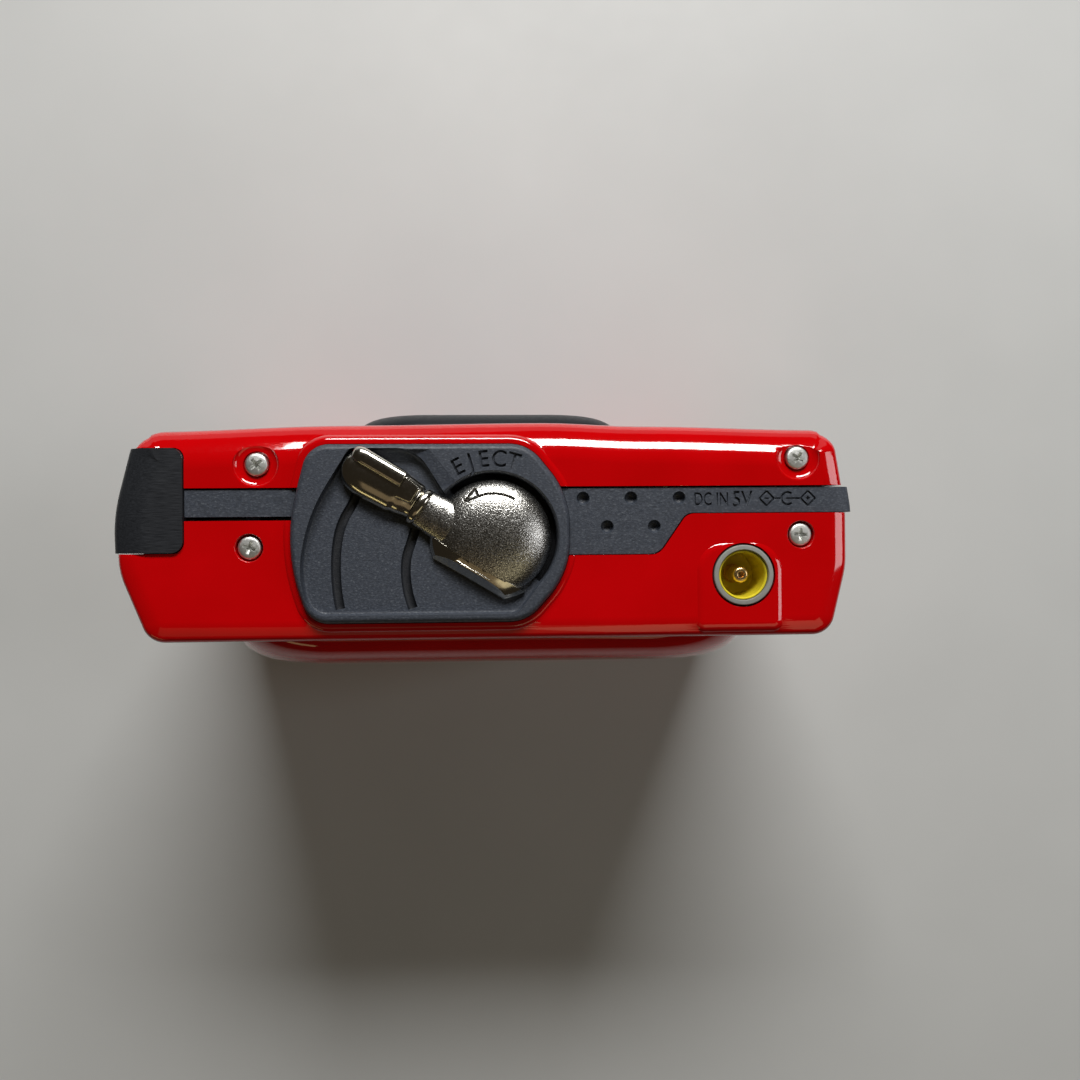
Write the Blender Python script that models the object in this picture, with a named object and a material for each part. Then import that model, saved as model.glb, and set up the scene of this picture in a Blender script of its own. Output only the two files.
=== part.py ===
"""Portable cassette player standing on its hinge side, with the latch end on top.

X runs along the latch end, -Y is the cassette door's side, +Y is the control side.
Everything is modelled in millimetres, and to_metres() scales the finished pieces.
"""

import math

import bmesh
import bpy
from mathutils import Matrix, Vector

MM = 0.001
Y_SHIFT = 0.8  # moves the body so that its bounding box is centred on the origin

# Body
END_Z = 84.0
EDGE_R = 2.6
WALL = 2.2
END_WALL_Z = 81.6
FLOOR_Z = 2.0
BODY_CORNERS = [
    (54.2, 15.8, 3.8),
    (-52.6, 15.8, 4.5),
    (-55.9, 3.0, 25.0),
    (-55.6, -5.5, 12.0),
    (-51.2, -16.2, 3.6),
    (53.6, -16.2, 3.6),
    (56.2, -5.5, 14.0),
    (56.2, 3.5, 20.0),
]
BAND_TOP = 6.9
BAND_LEFT = 2.8
BAND_RIGHT = 3.0
BAND_WIDE = -3.3
BAND_STEP = (26.4, 30.8)

# Cassette bay: a compact cassette is 100.4 x 63.8 x 12, and stands on its long side
BAY_X = (-48.15, 52.8)
REEL_Z = 33.7
REEL_X = (-18.95, 23.55)

# Door on the -Y side
DOOR_PLANE = -12.7
DOOR_Z = (4.4, 79.0)
HINGE_Y = -14.3
HINGE_Z = 4.4
BULGE_CENTRE = (1.0, 41.5)
BULGE_SIZE = (89.0, 65.0)
BULGE_Y = -21.6

# Latch
HUB = (0.9, -0.6)
HUB_R = 8.8
POCKET_R = 10.3
HOUSING_Z = (80.2, 86.0)
RECESS_Z = 84.0
LEVER_DEG = 149.2
LEVER_TOP = 88.0
HOUSING_CORNERS = [
    (6.3, 13.6, 3.0),
    (-26.8, 13.6, 4.0),
    (-30.7, -1.5, 28.0),
    (-26.8, -13.4, 4.0),
    (6.0, -13.4, 3.0),
    (12.6, -6.0, 8.0),
    (12.6, 5.8, 8.0),
]

# Battery door
BATTERY_DOOR = (-45.6, -2.6, 13.2)
BATTERY_HINGE = (-55.35, 70.4)

# Details on the end face
END_SCREWS = [(-34.8, 10.7), (48.3, 11.4), (-35.9, -1.9), (48.7, -0.5)]
JACK = (39.6, -6.7)

# Tape drive
DECK_Y = (1.5, 2.7)
FLYWHEEL = (28.3, 59.0)
FLYWHEEL_R = 14.0
FLYWHEEL_HUB_R = 4.0
MOTOR = (-12.0, 60.0)
PULLEY_R = 2.0
TAKEUP_R = 7.0
IDLER_R = 7.05
PINCH_PIVOT = (12.0, 69.9)
PINCH_ROLLER = (28.3, 74.4)
HEAD_X = 2.3

# Controls on the +Y side
PANEL_CENTRE = (0.3, 45.5)
PANEL_SIZE = (44.0, 63.0)
BUTTONS = {"stop": 21.0, "play": 33.0, "forward": 45.0, "rewind": 57.0}
VOLUME = (49.3, 52.0)
PHONES = (10.4, 20.0)


# Pieces with so many cuts and joins that the EXACT solver leaves open edges
MANY_CUTS = ("mid_frame", "front_shell", "cassette_door")


def clear_scene():
    for obj in list(bpy.data.objects):
        bpy.data.objects.remove(obj)


def paint(name, colour, roughness, metallic=0.0):
    material = bpy.data.materials.get(name) or bpy.data.materials.new(name)
    material.use_nodes = True
    shader = material.node_tree.nodes["Principled BSDF"]
    shader.inputs["Base Color"].default_value = (*colour, 1.0)
    shader.inputs["Roughness"].default_value = roughness
    shader.inputs["Metallic"].default_value = metallic
    return material


def red(name):
    return paint(name, (0.62, 0.004, 0.006), 0.18)


def black(name):
    return paint(name, (0.045, 0.05, 0.058), 0.55)


def steel(name):
    return paint(name, (0.6, 0.6, 0.58), 0.28, 1.0)


def filleted(corners, steps=4):
    """A closed outline whose corners (x, y, radius) are rounded by arcs tangent to both sides."""
    outline = []
    for i, (x, y, radius) in enumerate(corners):
        here = Vector((x, y))
        if radius == 0:
            outline.append(here)
            continue
        before = (Vector(corners[i - 1][:2]) - here).normalized()
        after = (Vector(corners[(i + 1) % len(corners)][:2]) - here).normalized()
        half = math.acos(max(-1.0, min(1.0, before.dot(after)))) / 2
        reach = radius / math.tan(half)
        centre = here + (before + after).normalized() * (radius / math.sin(half))
        start = here + before * reach - centre
        end = here + after * reach - centre
        sweep = math.atan2(start.x * end.y - start.y * end.x, start.dot(end))
        for k in range(steps + 1):
            turn = sweep * k / steps
            cos, sin = math.cos(turn), math.sin(turn)
            outline.append(centre + Vector((start.x * cos - start.y * sin, start.x * sin + start.y * cos)))
    return outline


def offset(outline, distance):
    """The outline moved outwards, where the points run anticlockwise."""
    moved = []
    for i, point in enumerate(outline):
        along = (outline[(i + 1) % len(outline)] - outline[i - 1]).normalized()
        moved.append(point + Vector((along.y, -along.x)) * distance)
    return moved


def rectangle(centre, size, radius, steps=4):
    x, y = size[0] / 2, size[1] / 2
    corners = [(x, y, radius), (-x, y, radius), (-x, -y, radius), (x, -y, radius)]
    return [point + Vector(centre) for point in filleted(corners, steps)]


def circle(centre, radius, steps=32):
    ring = [math.tau * k / steps for k in range(steps)]
    return [Vector((centre[0] + radius * math.cos(a), centre[1] + radius * math.sin(a))) for a in ring]


def loft(rings):
    """A closed body through rings of equal length, capped at both ends."""
    bm = bmesh.new()
    made = [[bm.verts.new(point) for point in ring] for ring in rings]
    for low, high in zip(made, made[1:]):
        for i in range(len(low)):
            j = (i + 1) % len(low)
            bm.faces.new((low[i], low[j], high[j], high[i]))
    bm.faces.new(list(reversed(made[0])))
    bm.faces.new(made[-1])
    bmesh.ops.recalc_face_normals(bm, faces=bm.faces)
    return bm


def prism(outline, low, high, along="z"):
    """An outline in XY raised along z, in XZ along y, or in YZ along x."""
    place = {
        "z": lambda p, h: (p.x, p.y, h),
        "y": lambda p, h: (p.x, h, p.y),
        "x": lambda p, h: (h, p.x, p.y),
    }[along]
    return loft([[place(p, h) for p in outline] for h in (low, high)])


def block(x, y, z):
    outline = [Vector(p) for p in ((x[0], y[0]), (x[1], y[0]), (x[1], y[1]), (x[0], y[1]))]
    return prism(outline, z[0], z[1])


def turned(profile, centre, along="z", steps=32):
    """A turned body: profile points (radius, height), closed on the axis or back to its first point."""
    place = {
        "z": lambda a, b, h: (centre[0] + a, centre[1] + b, h),
        "y": lambda a, b, h: (centre[0] + a, h, centre[1] + b),
        "x": lambda a, b, h: (h, centre[0] + a, centre[1] + b),
    }[along]
    bm = bmesh.new()
    rings = []
    for radius, height in profile:
        if radius == 0:
            rings.append([bm.verts.new(place(0, 0, height))])
            continue
        angles = [math.tau * k / steps for k in range(steps)]
        rings.append([bm.verts.new(place(radius * math.cos(a), radius * math.sin(a), height)) for a in angles])
    pairs = list(zip(rings, rings[1:]))
    if profile[0][0] != 0:
        pairs.append((rings[-1], rings[0]))
    for one, two in pairs:
        for i in range(steps):
            j = (i + 1) % steps
            corners = [one[i % len(one)], one[j % len(one)], two[j % len(two)], two[i % len(two)]]
            face = list(dict.fromkeys(corners))
            if len(face) > 2:
                bm.faces.new(face)
    bmesh.ops.recalc_face_normals(bm, faces=bm.faces)
    return bm


def rod(radius, low, high, centre, along="z", steps=24):
    return turned([(0, low), (radius, low), (radius, high), (0, high)], centre, along, steps)


def tube(outer, inner, low, high, centre, along="z", steps=32):
    return turned([(outer, low), (outer, high), (inner, high), (inner, low)], centre, along, steps)


def make(name, bm, material, origin=(0.0, 0.0, 0.0)):
    """An object with its origin at the given point, which is the joint's axis on a moving piece."""
    shift = Vector(origin)
    for vert in bm.verts:
        vert.co -= shift
    mesh = bpy.data.meshes.new(name)
    bm.to_mesh(mesh)
    bm.free()
    obj = bpy.data.objects.new(name, mesh)
    obj.location = shift + Vector((0.0, Y_SHIFT, 0.0))
    bpy.context.scene.collection.objects.link(obj)
    if material:
        mesh.materials.append(material)
    return obj


def combine(target, bm, operation):
    """A Boolean of the target with a helper shape, which to_metres() applies and removes."""
    helper = make(f"tool_{target.name}", bm, None)
    helper.hide_render = True
    helper.display_type = "WIRE"
    modifier = target.modifiers.new(operation.lower(), "BOOLEAN")
    modifier.operation = operation
    modifier.object = helper
    modifier.solver = "MANIFOLD" if target.name in MANY_CUTS else "EXACT"


def cut(target, *shapes):
    for bm in shapes:
        combine(target, bm, "DIFFERENCE")


def join(target, *shapes):
    for bm in shapes:
        combine(target, bm, "UNION")


def core(grow=0.0, top=END_Z, edge=EDGE_R):
    """The body's outer form: the end outline run down to the floor, with both ends rounded over."""
    outline = filleted(BODY_CORNERS)
    rings = []
    for side, base in ((1, 0.0), (-1, top)):
        levels = []
        for k in range(4):
            angle = math.radians(30 * k)
            inset = edge * (1 - math.sin(angle))
            z = base + side * edge * (1 - math.cos(angle))
            levels.append([(p.x, p.y, z) for p in offset(outline, grow - inset)])
        rings += levels if side > 0 else levels[::-1]
    return loft(rings)


def front_region():
    """The end-face area of the door-side shell, below the band."""
    gap = 0.3
    return filleted(
        [
            (-70.0, BAND_LEFT - 0.6, 0.0),
            (-70.0, -40.0, 0.0),
            (70.0, -40.0, 0.0),
            (70.0, BAND_RIGHT - gap, 0.0),
            (BAND_STEP[1] + gap, BAND_RIGHT - gap, 1.6),
            (BAND_STEP[0] + gap, BAND_WIDE - gap, 1.8),
            (-8.0, BAND_WIDE - gap, 0.0),
            (-8.0, BAND_LEFT - 0.6, 0.0),
        ]
    )


def band_region():
    return filleted(
        [
            (70.0, BAND_TOP, 0.0),
            (-70.0, BAND_TOP, 0.0),
            (-70.0, BAND_LEFT, 0.0),
            (-8.0, BAND_LEFT, 0.0),
            (-8.0, BAND_WIDE, 0.0),
            (BAND_STEP[0], BAND_WIDE, 2.0),
            (BAND_STEP[1], BAND_RIGHT, 1.4),
            (70.0, BAND_RIGHT, 0.0),
        ]
    )


def housing_hole(gap=0.3):
    return prism(offset(filleted(HOUSING_CORNERS), gap), HOUSING_Z[0] - 0.5, 95.0)


def battery_door_region(gap=0.0):
    x, low, high = BATTERY_DOOR
    corners = [
        (x + gap, high + gap, 1.8),
        (-70.0, high + gap, 0.0),
        (-70.0, low - gap, 0.0),
        (x + gap, low - gap, 1.8),
    ]
    return prism(filleted(corners), BATTERY_HINGE[1] - gap, 95.0)


def battery_pocket():
    """Room for the battery box and for the door's barrel."""
    box = prism(rectangle((-51.0, 4.0), (6.3, 13.5), 2.9), 8.0, 90.0)
    barrel = rod(1.6, -3.0, 5.9, BATTERY_HINGE, "y")
    return box, barrel


def battery_pin_hole():
    return rod(0.6, -4.3, 7.2, BATTERY_HINGE, "y", 12)


def rear_shell():
    shell = make("rear_shell", core(), red("rear_shell"))
    cut(shell, block((-70, 70), (-40, BAND_TOP + 0.25), (-5, 95)))
    cut(shell, prism(offset(filleted(BODY_CORNERS), -WALL), FLOOR_Z, END_WALL_Z))
    cut(shell, housing_hole(), battery_door_region(0.3), battery_pocket()[0])
    for x, y in END_SCREWS[:2]:
        dish = [(0, 82.5), (2.1, 82.5), (2.1, 83.3), (3.4, 84.3), (3.4, 90), (0, 90)]
        cut(shell, turned(dish, (x, y)), rod(1.3, 80, 84, (x, y)))
    x, z = PANEL_CENTRE
    for name, height in BUTTONS.items():
        cut(shell, prism(rectangle((x, height), (13.6, 7.6), 3.6), 13, 20, "y"))
    cut(shell, block((VOLUME[0], 60), (8.3, 11.3), (VOLUME[1] - 5.6, VOLUME[1] + 5.6)))
    cut(shell, rod(3.3, 50, 60, PHONES, "x"))
    return shell


def mid_frame():
    frame = make("mid_frame", core(0.4, END_Z - 0.3), black("mid_frame"))
    combine(frame, prism(band_region(), -5, 95), "INTERSECT")
    cut(frame, block((-54.3, 53.8), (-30, 30), (FLOOR_Z, END_WALL_Z)))
    cut(frame, housing_hole(), battery_door_region(0.3), *battery_pocket(), battery_pin_hole())
    for x, y in ((14.8, 5.3), (22.2, 5.3), (29.7, 5.3), (18.5, 0.9), (25.8, 0.9)):
        cut(frame, turned([(0, 82.7), (0.9, 82.7), (0.9, 90), (0, 90)], (x, y), steps=16))
    for x, y in END_SCREWS:
        low, high = min(y, 4.0), max(y, 5.6)
        join(frame, block((x - 1.0, x + 1.0), (low, high), (75.0, 81.2)))
        join(frame, block((x - 1.4, x + 1.4), (3.4, 6.4), (76.0, 82.6)))
        join(frame, rod(2.1, 74.0, 81.3, (x, y), steps=16))
        cut(frame, rod(1.15, 70, 83.5, (x, y), steps=16))
    bridge = filleted([(12, 6.5, 2), (-29, 6.5, 2), (-29, -6, 2), (12, -6, 2)])
    join(frame, prism(bridge, 77.5, 79.4))
    join(frame, block((10.2, 14.8), (3.4, 6.4), (77.5, 82.6)))
    join(frame, block((-33.0, -27.0), (3.4, 6.4), (77.5, 82.6)))
    cut(frame, housing_hole(), rod(2.3, 70, 90, HUB))
    return frame


def front_shell():
    shell = make("front_shell", core(), red("front_shell"))
    combine(shell, prism(front_region(), -5, 95), "INTERSECT")
    cut(shell, block(BAY_X, (-13.9, 20), (FLOOR_Z, END_WALL_Z)))
    cut(shell, block((-53.6, -49.6), (-9.5, 20), (3, 79.5)))
    cut(shell, block((-70, 70), (-30, -12.3), (FLOOR_Z, DOOR_Z[1] + 0.4)))
    cut(shell, block((-70, 70), (-30, -12.0), (FLOOR_Z, 8)))
    cut(shell, housing_hole(), battery_door_region(0.3), *battery_pocket(), battery_pin_hole())
    cut(shell, rod(5.0, 70, 90, JACK))
    for x, y in END_SCREWS[2:]:
        cut(shell, rod(2.05, 82.5, 90, (x, y)), rod(1.3, 80, 84, (x, y)))
    return shell


def latch_housing():
    outline = filleted(HOUSING_CORNERS)
    rings = [(0.0, HOUSING_Z[0]), (0.0, 85.2), (0.25, 85.75), (0.8, HOUSING_Z[1])]
    body = loft([[(p.x, p.y, z) for p in offset(outline, -inset)] for inset, z in rings])
    housing = make("latch_housing", body, black("latch_housing"))
    fan = [
        (-20.3, 13.0, 1.0),
        (-28.0, -3.5, 14.0),
        (-26.2, -12.3, 3.0),
        (3.0, -12.3, 0.5),
        (3.0, 0.0, 0.5),
        (-6.5, 6.2, 0.5),
        (-12.0, 13.0, 4.0),
    ]
    cut(housing, prism(filleted(fan), RECESS_Z, 95), rod(POCKET_R, 82.2, 95, HUB, steps=40))
    cut(housing, rod(2.3, 70, 90, HUB))
    return housing


def screws():
    steel_grey = steel("end_screw")
    for number, (x, y) in enumerate(END_SCREWS, 1):
        profile = [(0, 77.0), (1.0, 77.0), (1.0, 82.8), (1.75, 82.8), (1.75, 83.5), (1.3, 83.8), (0, 83.8)]
        screw = make(f"end_screw_{number}", turned(profile, (x, y), steps=20), steel_grey)
        cut(screw, block((x - 1.0, x + 1.0), (y - 0.22, y + 0.22), (83.3, 90)))
        cut(screw, block((x - 0.22, x + 0.22), (y - 1.0, y + 1.0), (83.3, 90)))


def battery_parts():
    x, z = BATTERY_HINGE
    origin = (x, 4.0, z)
    door = make("battery_door", core(0.5, END_Z + 0.5, 3.2), black("battery_door"), origin)
    combine(door, battery_door_region(), "INTERSECT")
    cut(door, block((-54.9, -40), (-10, 20), (50, 82.3)))
    join(door, rod(1.25, -2.4, 5.3, BATTERY_HINGE, "y"))
    cut(door, block((-54.0, -40), (-10, 20), (50, 82.3)))
    cut(door, rod(0.72, -8, 12, BATTERY_HINGE, "y", 12))
    make("battery_hinge_pin", rod(0.45, -4.1, 7.0, BATTERY_HINGE, "y", 12), steel("battery_hinge_pin"))
    outer = prism(rectangle((-51.0, 4.0), (5.7, 12.9), 2.6), 9.0, 80.0)
    box = make("battery_box", outer, black("battery_box"))
    cut(box, prism(rectangle((-51.0, 4.0), (4.8, 12.0), 2.2), 9.6, 90))
    cell = prism(rectangle((-51.0, 4.0), (4.4, 11.6), 2.0), 14.0, 76.0)
    make("battery_cell", cell, paint("battery_cell", (0.25, 0.3, 0.32), 0.4, 0.3))
    spring = block((-52.6, -49.4), (0.0, 8.0), (10.0, 13.6))
    contact = make("battery_contact", spring, steel("battery_contact"))
    cut(contact, block((-53.5, -49.8), (-1, 9), (10.4, 13.2)))


def power_jack():
    grey = paint("jack_ring", (0.32, 0.32, 0.31), 0.45)
    yellow = paint("jack_sleeve", (0.75, 0.6, 0.06), 0.4)
    make("jack_ring", tube(4.65, 3.85, 75, 84.3, JACK), grey)
    cup = [(0, 75), (3.65, 75), (3.65, 83.9), (3.4, 83.9), (3.4, 76), (0, 76)]
    make("jack_sleeve", turned(cup, JACK), yellow)
    pin = [(0, 76.3), (1.0, 76.3), (1.0, 81.0), (0.7, 81.6), (0.3, 81.6), (0.3, 81.0), (0, 81.0)]
    make("jack_pin", turned(pin, JACK, steps=20), paint("jack_pin", (0.8, 0.55, 0.25), 0.3, 1.0))


def turn_to_lever(bm):
    """Turns a shape built along +X from the origin to the lever's resting direction at the hub."""
    cos, sin = math.cos(math.radians(LEVER_DEG)), math.sin(math.radians(LEVER_DEG))
    for vert in bm.verts:
        x, y, z = vert.co
        vert.co = (HUB[0] + x * cos - y * sin, HUB[1] + x * sin + y * cos, z)
    return bm


def lever_ring(x, middle, half, low, high, lean=0.82):
    """One cross-section of the handle: a half-round with flat flanks."""
    points = []
    for k in range(13):
        angle = math.pi * k / 12
        width = half * (abs(math.cos(angle)) ** 0.7) * (1 if math.cos(angle) >= 0 else -1)
        points.append((x, middle + width, low + 1.2 + (high - low - 1.2) * math.sin(angle) ** lean))
    points.append((x, middle - half, low))
    points.append((x, middle + half, low))
    return points


def latch_parts():
    chrome = paint("lever", (0.78, 0.76, 0.7), 0.12, 1.0)
    origin = (HUB[0], HUB[1], LEVER_TOP)
    dome = [(0, 82.6), (HUB_R, 82.6), (HUB_R, 84.6), (8.4, 85.5), (7.2, 86.4), (5.0, 87.0), (2.5, 87.3), (0, 87.4)]
    lever = make("lever", turned(dome, HUB, steps=48), chrome, origin)
    # The rings run from the shoulder in the hub, past the collar and neck, to the rounded tip.
    sections = [
        (5.0, 1.35, 3.1, 84.4, 86.6),
        (10.9, 1.35, 3.1, 84.4, 86.6),
        (11.0, 1.35, 3.4, 84.3, 87.1),
        (12.4, 1.35, 3.4, 84.3, 87.1),
        (12.5, 1.35, 2.9, 84.4, 86.7),
        (15.4, 1.35, 3.0, 84.4, 86.8),
        (16.0, 1.35, 3.4, 84.3, 87.7),
        (17.5, 1.35, 3.45, 84.3, LEVER_TOP),
        (22.0, 1.35, 3.45, 84.3, LEVER_TOP),
        (23.4, 1.35, 3.0, 84.3, 87.7),
        (24.2, 1.35, 2.1, 84.3, 87.1),
        (24.6, 1.35, 1.0, 84.4, 86.4),
    ]
    join(lever, turn_to_lever(loft([lever_ring(*section) for section in sections])))
    wedge = [Vector(p) for p in ((7.0, 80), (20, 80), (20, 95), (4.9, 95), (4.9, 86.4))]
    cut(lever, turn_to_lever(prism(wedge, -30, 8.4, "x")))
    make("latch_shaft", rod(2.0, 75.6, 82.3, HUB), steel("latch_shaft"), origin)
    x, y = HUB
    hook = make("latch_hook", rod(3.6, 75.5, 77.2, HUB), steel("latch_hook"), origin)
    join(hook, block((x - 1.6, x + 1.6), (y - 11.0, y), (75.5, 77.2)))
    join(hook, block((x - 1.6, x + 3.4), (y - 11.2, y - 9.2), (75.5, 77.2)))
    cut(hook, rod(2.08, 70, 80, HUB))


def latch_spring():
    """A torsion coil round the shaft, between the bridge and the housing."""
    turns, per_turn, sides, radius, wire = 1.7, 18, 6, 3.2, 0.16
    rings = []
    for k in range(int(turns * per_turn) + 1):
        angle = math.tau * k / per_turn
        out = Vector((math.cos(angle), math.sin(angle), 0))
        centre = Vector((HUB[0], HUB[1], 79.8)) + out * (radius + 0.02 * k)
        ring = [math.tau * s / sides for s in range(sides)]
        rings.append([centre + out * wire * math.cos(a) + Vector((0, 0, wire * math.sin(a))) for a in ring])
    make("latch_spring", loft(rings), steel("latch_spring"))


def cassette_door():
    origin = (0.0, HINGE_Y, HINGE_Z)
    door = make("cassette_door", core(), red("cassette_door"), origin)
    combine(door, block((-70, 70), (-30, DOOR_PLANE), DOOR_Z), "INTERSECT")
    insets = [(0.0, -15.0), (0.8, -17.0), (2.4, -19.2), (5.0, -20.9), (9.0, BULGE_Y)]
    rings = []
    for inset, y in insets:
        size = (BULGE_SIZE[0] - 2 * inset, BULGE_SIZE[1] - 2 * inset)
        rings.append([(p.x, y, p.y) for p in rectangle(BULGE_CENTRE, size, 18 - inset, 6)])
    join(door, loft(rings))
    join(door, rod(1.8, -50.6, 53.0, (HINGE_Y, HINGE_Z), "x"))
    cut(door, block((BAY_X[0] - 0.2, BAY_X[1] + 0.1), (-15.0, 0), (8.0, 76.6)))
    cut(door, prism(rectangle(BULGE_CENTRE, (80, 56), 12), -19.4, 0, "y"))
    cut(door, prism(rectangle((1.5, 41.0), (56.6, 28.6), 4.3), -30, 0, "y"))
    cut(door, rod(1.1, -70, 70, (HINGE_Y, HINGE_Z), "x", 16))
    for x in (-33.0, 35.0):
        cut(door, block((x - 3.3, x + 3.3), (-30, 0), (0, 7.0)))
    keeper = block((-3.5, 5.3), (-15.5, -12.9), (74.6, 78.2))
    join(door, keeper)
    pane = prism(rectangle((1.5, 41.0), (56.0, 28.0), 4.0), -21.2, -19.9, "y")
    make("door_window", pane, paint("door_window", (0.05, 0.05, 0.06), 0.08), origin)
    plate = prism(rectangle((2.3, 41.4), (100.2, 65.0), 3.0), -14.8, -13.9, "y")
    liner = make("door_liner", plate, black("door_liner"), origin)
    cut(liner, prism(rectangle((1.5, 41.0), (56, 28), 4), -30, 0, "y"))
    for side, x in (("left", -37.0), ("right", 41.0)):
        arch = [(-13.6, 16.0), (-13.3, 16.0), (-12.4, 24.0), (-12.4, 30.0), (-13.3, 38.0), (-13.6, 38.0)]
        arch += [(-12.7, 30.0), (-12.7, 24.0)]
        strip = prism([Vector(p) for p in arch], x - 2.5, x + 2.5, "x")
        make(f"cassette_spring_{side}", strip, steel(f"cassette_spring_{side}"), origin)


def door_hinge():
    axis = (HINGE_Y, HINGE_Z)
    make("hinge_pin", rod(0.8, -50.2, 52.6, axis, "x", 16), steel("hinge_pin"))
    for side, x in (("left", -33.0), ("right", 35.0)):
        outline = filleted([(-12.7, 2.3, 0.2), (-12.7, 6.1, 1.5), (-15.9, 6.1, 1.5), (-15.9, 2.3, 0.2)])
        lug = make(f"hinge_lug_{side}", prism(outline, x - 2.7, x + 2.7, "x"), steel(f"hinge_lug_{side}"))
        cut(lug, rod(0.9, -70, 70, axis, "x", 16))


def deck_plate():
    plate = make("deck_plate", block((-47.6, 52.4), DECK_Y, (4.0, 73.6)), steel("deck_plate"))
    for x in REEL_X:
        cut(plate, rod(2.6, -5, 10, (x, REEL_Z), "y"))
    cut(plate, rod(1.6, -5, 10, FLYWHEEL, "y", 16))
    make("capstan_sleeve", tube(1.45, 1.1, -0.4, 2.95, FLYWHEEL, "y", 16), paint("brass", (0.7, 0.5, 0.2), 0.3, 1.0))
    for side, x in (("left", -24.0), ("right", 33.5)):
        post = [(0, -8.2), (0.5, -8.0), (1.0, -7.0), (1.0, 1.2), (0, 1.2)]
        make(f"guide_post_{side}", turned(post, (x, 61.0), "y", 12), steel(f"guide_post_{side}"))


def spindle(name, x):
    """A reel spindle: three fins on a post, a turntable behind the cassette, and a drive rim."""
    bodies = [(0, -8.0), (0.8, -8.0), (2.2, -6.6), (2.2, -0.4), (5.6, -0.4), (5.6, 1.1), (2.3, 1.1)]
    bodies += [(2.3, 8.0), (TAKEUP_R, 8.0), (TAKEUP_R, 9.5), (0, 9.5)]
    piece = make(name, turned(bodies, (x, REEL_Z), "y"), paint(name, (0.75, 0.74, 0.7), 0.4), (x, 0.0, REEL_Z))
    for k in range(3):
        angle = math.tau * k / 3
        fin = block((0.5, 4.2), (-6.4, -0.9), (-0.5, 0.5))
        cos, sin = math.cos(angle), math.sin(angle)
        for vert in fin.verts:
            a, y, b = vert.co
            vert.co = (x + a * cos - b * sin, y, REEL_Z + a * sin + b * cos)
        join(piece, fin)


def belt():
    """A flat belt round the flywheel and the motor pulley, as a loop of constant thickness."""
    one, two = Vector(MOTOR), Vector(FLYWHEEL)
    span = two - one
    tilt = math.atan2(span.y, span.x)

    def loop(grow):
        small, large = PULLEY_R + grow, FLYWHEEL_R + grow
        lean = math.acos((small - large) / span.length)
        points = []
        for k in range(25):
            a = tilt - lean + 2 * lean * k / 24
            points.append(two + Vector((math.cos(a), math.sin(a))) * large)
        for k in range(13):
            a = tilt + lean + (math.tau - 2 * lean) * k / 12
            points.append(one + Vector((math.cos(a), math.sin(a))) * small)
        return points

    band = make("drive_belt", prism(loop(0.9), 4.2, 5.6, "y"), paint("drive_belt", (0.02, 0.02, 0.02), 0.7))
    cut(band, prism(loop(0.3), 0, 10, "y"))


def tape_drive():
    x, z = FLYWHEEL
    profile = [(0, -8.2), (0.6, -8.2), (0.95, -7.8), (0.95, 3.2), (FLYWHEEL_R, 3.2), (FLYWHEEL_R, 6.6)]
    profile += [(FLYWHEEL_HUB_R, 7.0), (FLYWHEEL_HUB_R, 9.6), (0, 9.6)]
    make("flywheel", turned(profile, FLYWHEEL, "y", 48), paint("flywheel", (0.7, 0.6, 0.35), 0.3, 1.0), (x, 0.0, z))
    x, z = MOTOR
    make("motor", turned([(0, 6.4), (8.5, 6.4), (9.0, 6.8), (9.0, 10.0), (0, 10.0)], MOTOR, "y"), steel("motor"))
    pulley = [(0, 4.0), (PULLEY_R, 4.0), (PULLEY_R, 5.8), (0, 5.8)]
    make("motor_pulley", turned(pulley, MOTOR, "y", 20), paint("brass", (0.7, 0.5, 0.2), 0.3, 1.0), (x, 0.0, z))
    belt()
    one, two = Vector(FLYWHEEL), Vector((REEL_X[1], REEL_Z))
    centre = one + (two - one).normalized() * (FLYWHEEL_HUB_R + 0.3 + IDLER_R)
    idler = [(0, 7.7), (IDLER_R, 8.1), (IDLER_R, 9.4), (0, 9.8)]
    rubber = paint("idler_wheel", (0.03, 0.03, 0.03), 0.7)
    make("idler_wheel", turned(idler, centre, "y"), rubber, (centre.x, 0.0, centre.y))
    spindle("supply_spindle", REEL_X[0])
    spindle("takeup_spindle", REEL_X[1])


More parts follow.
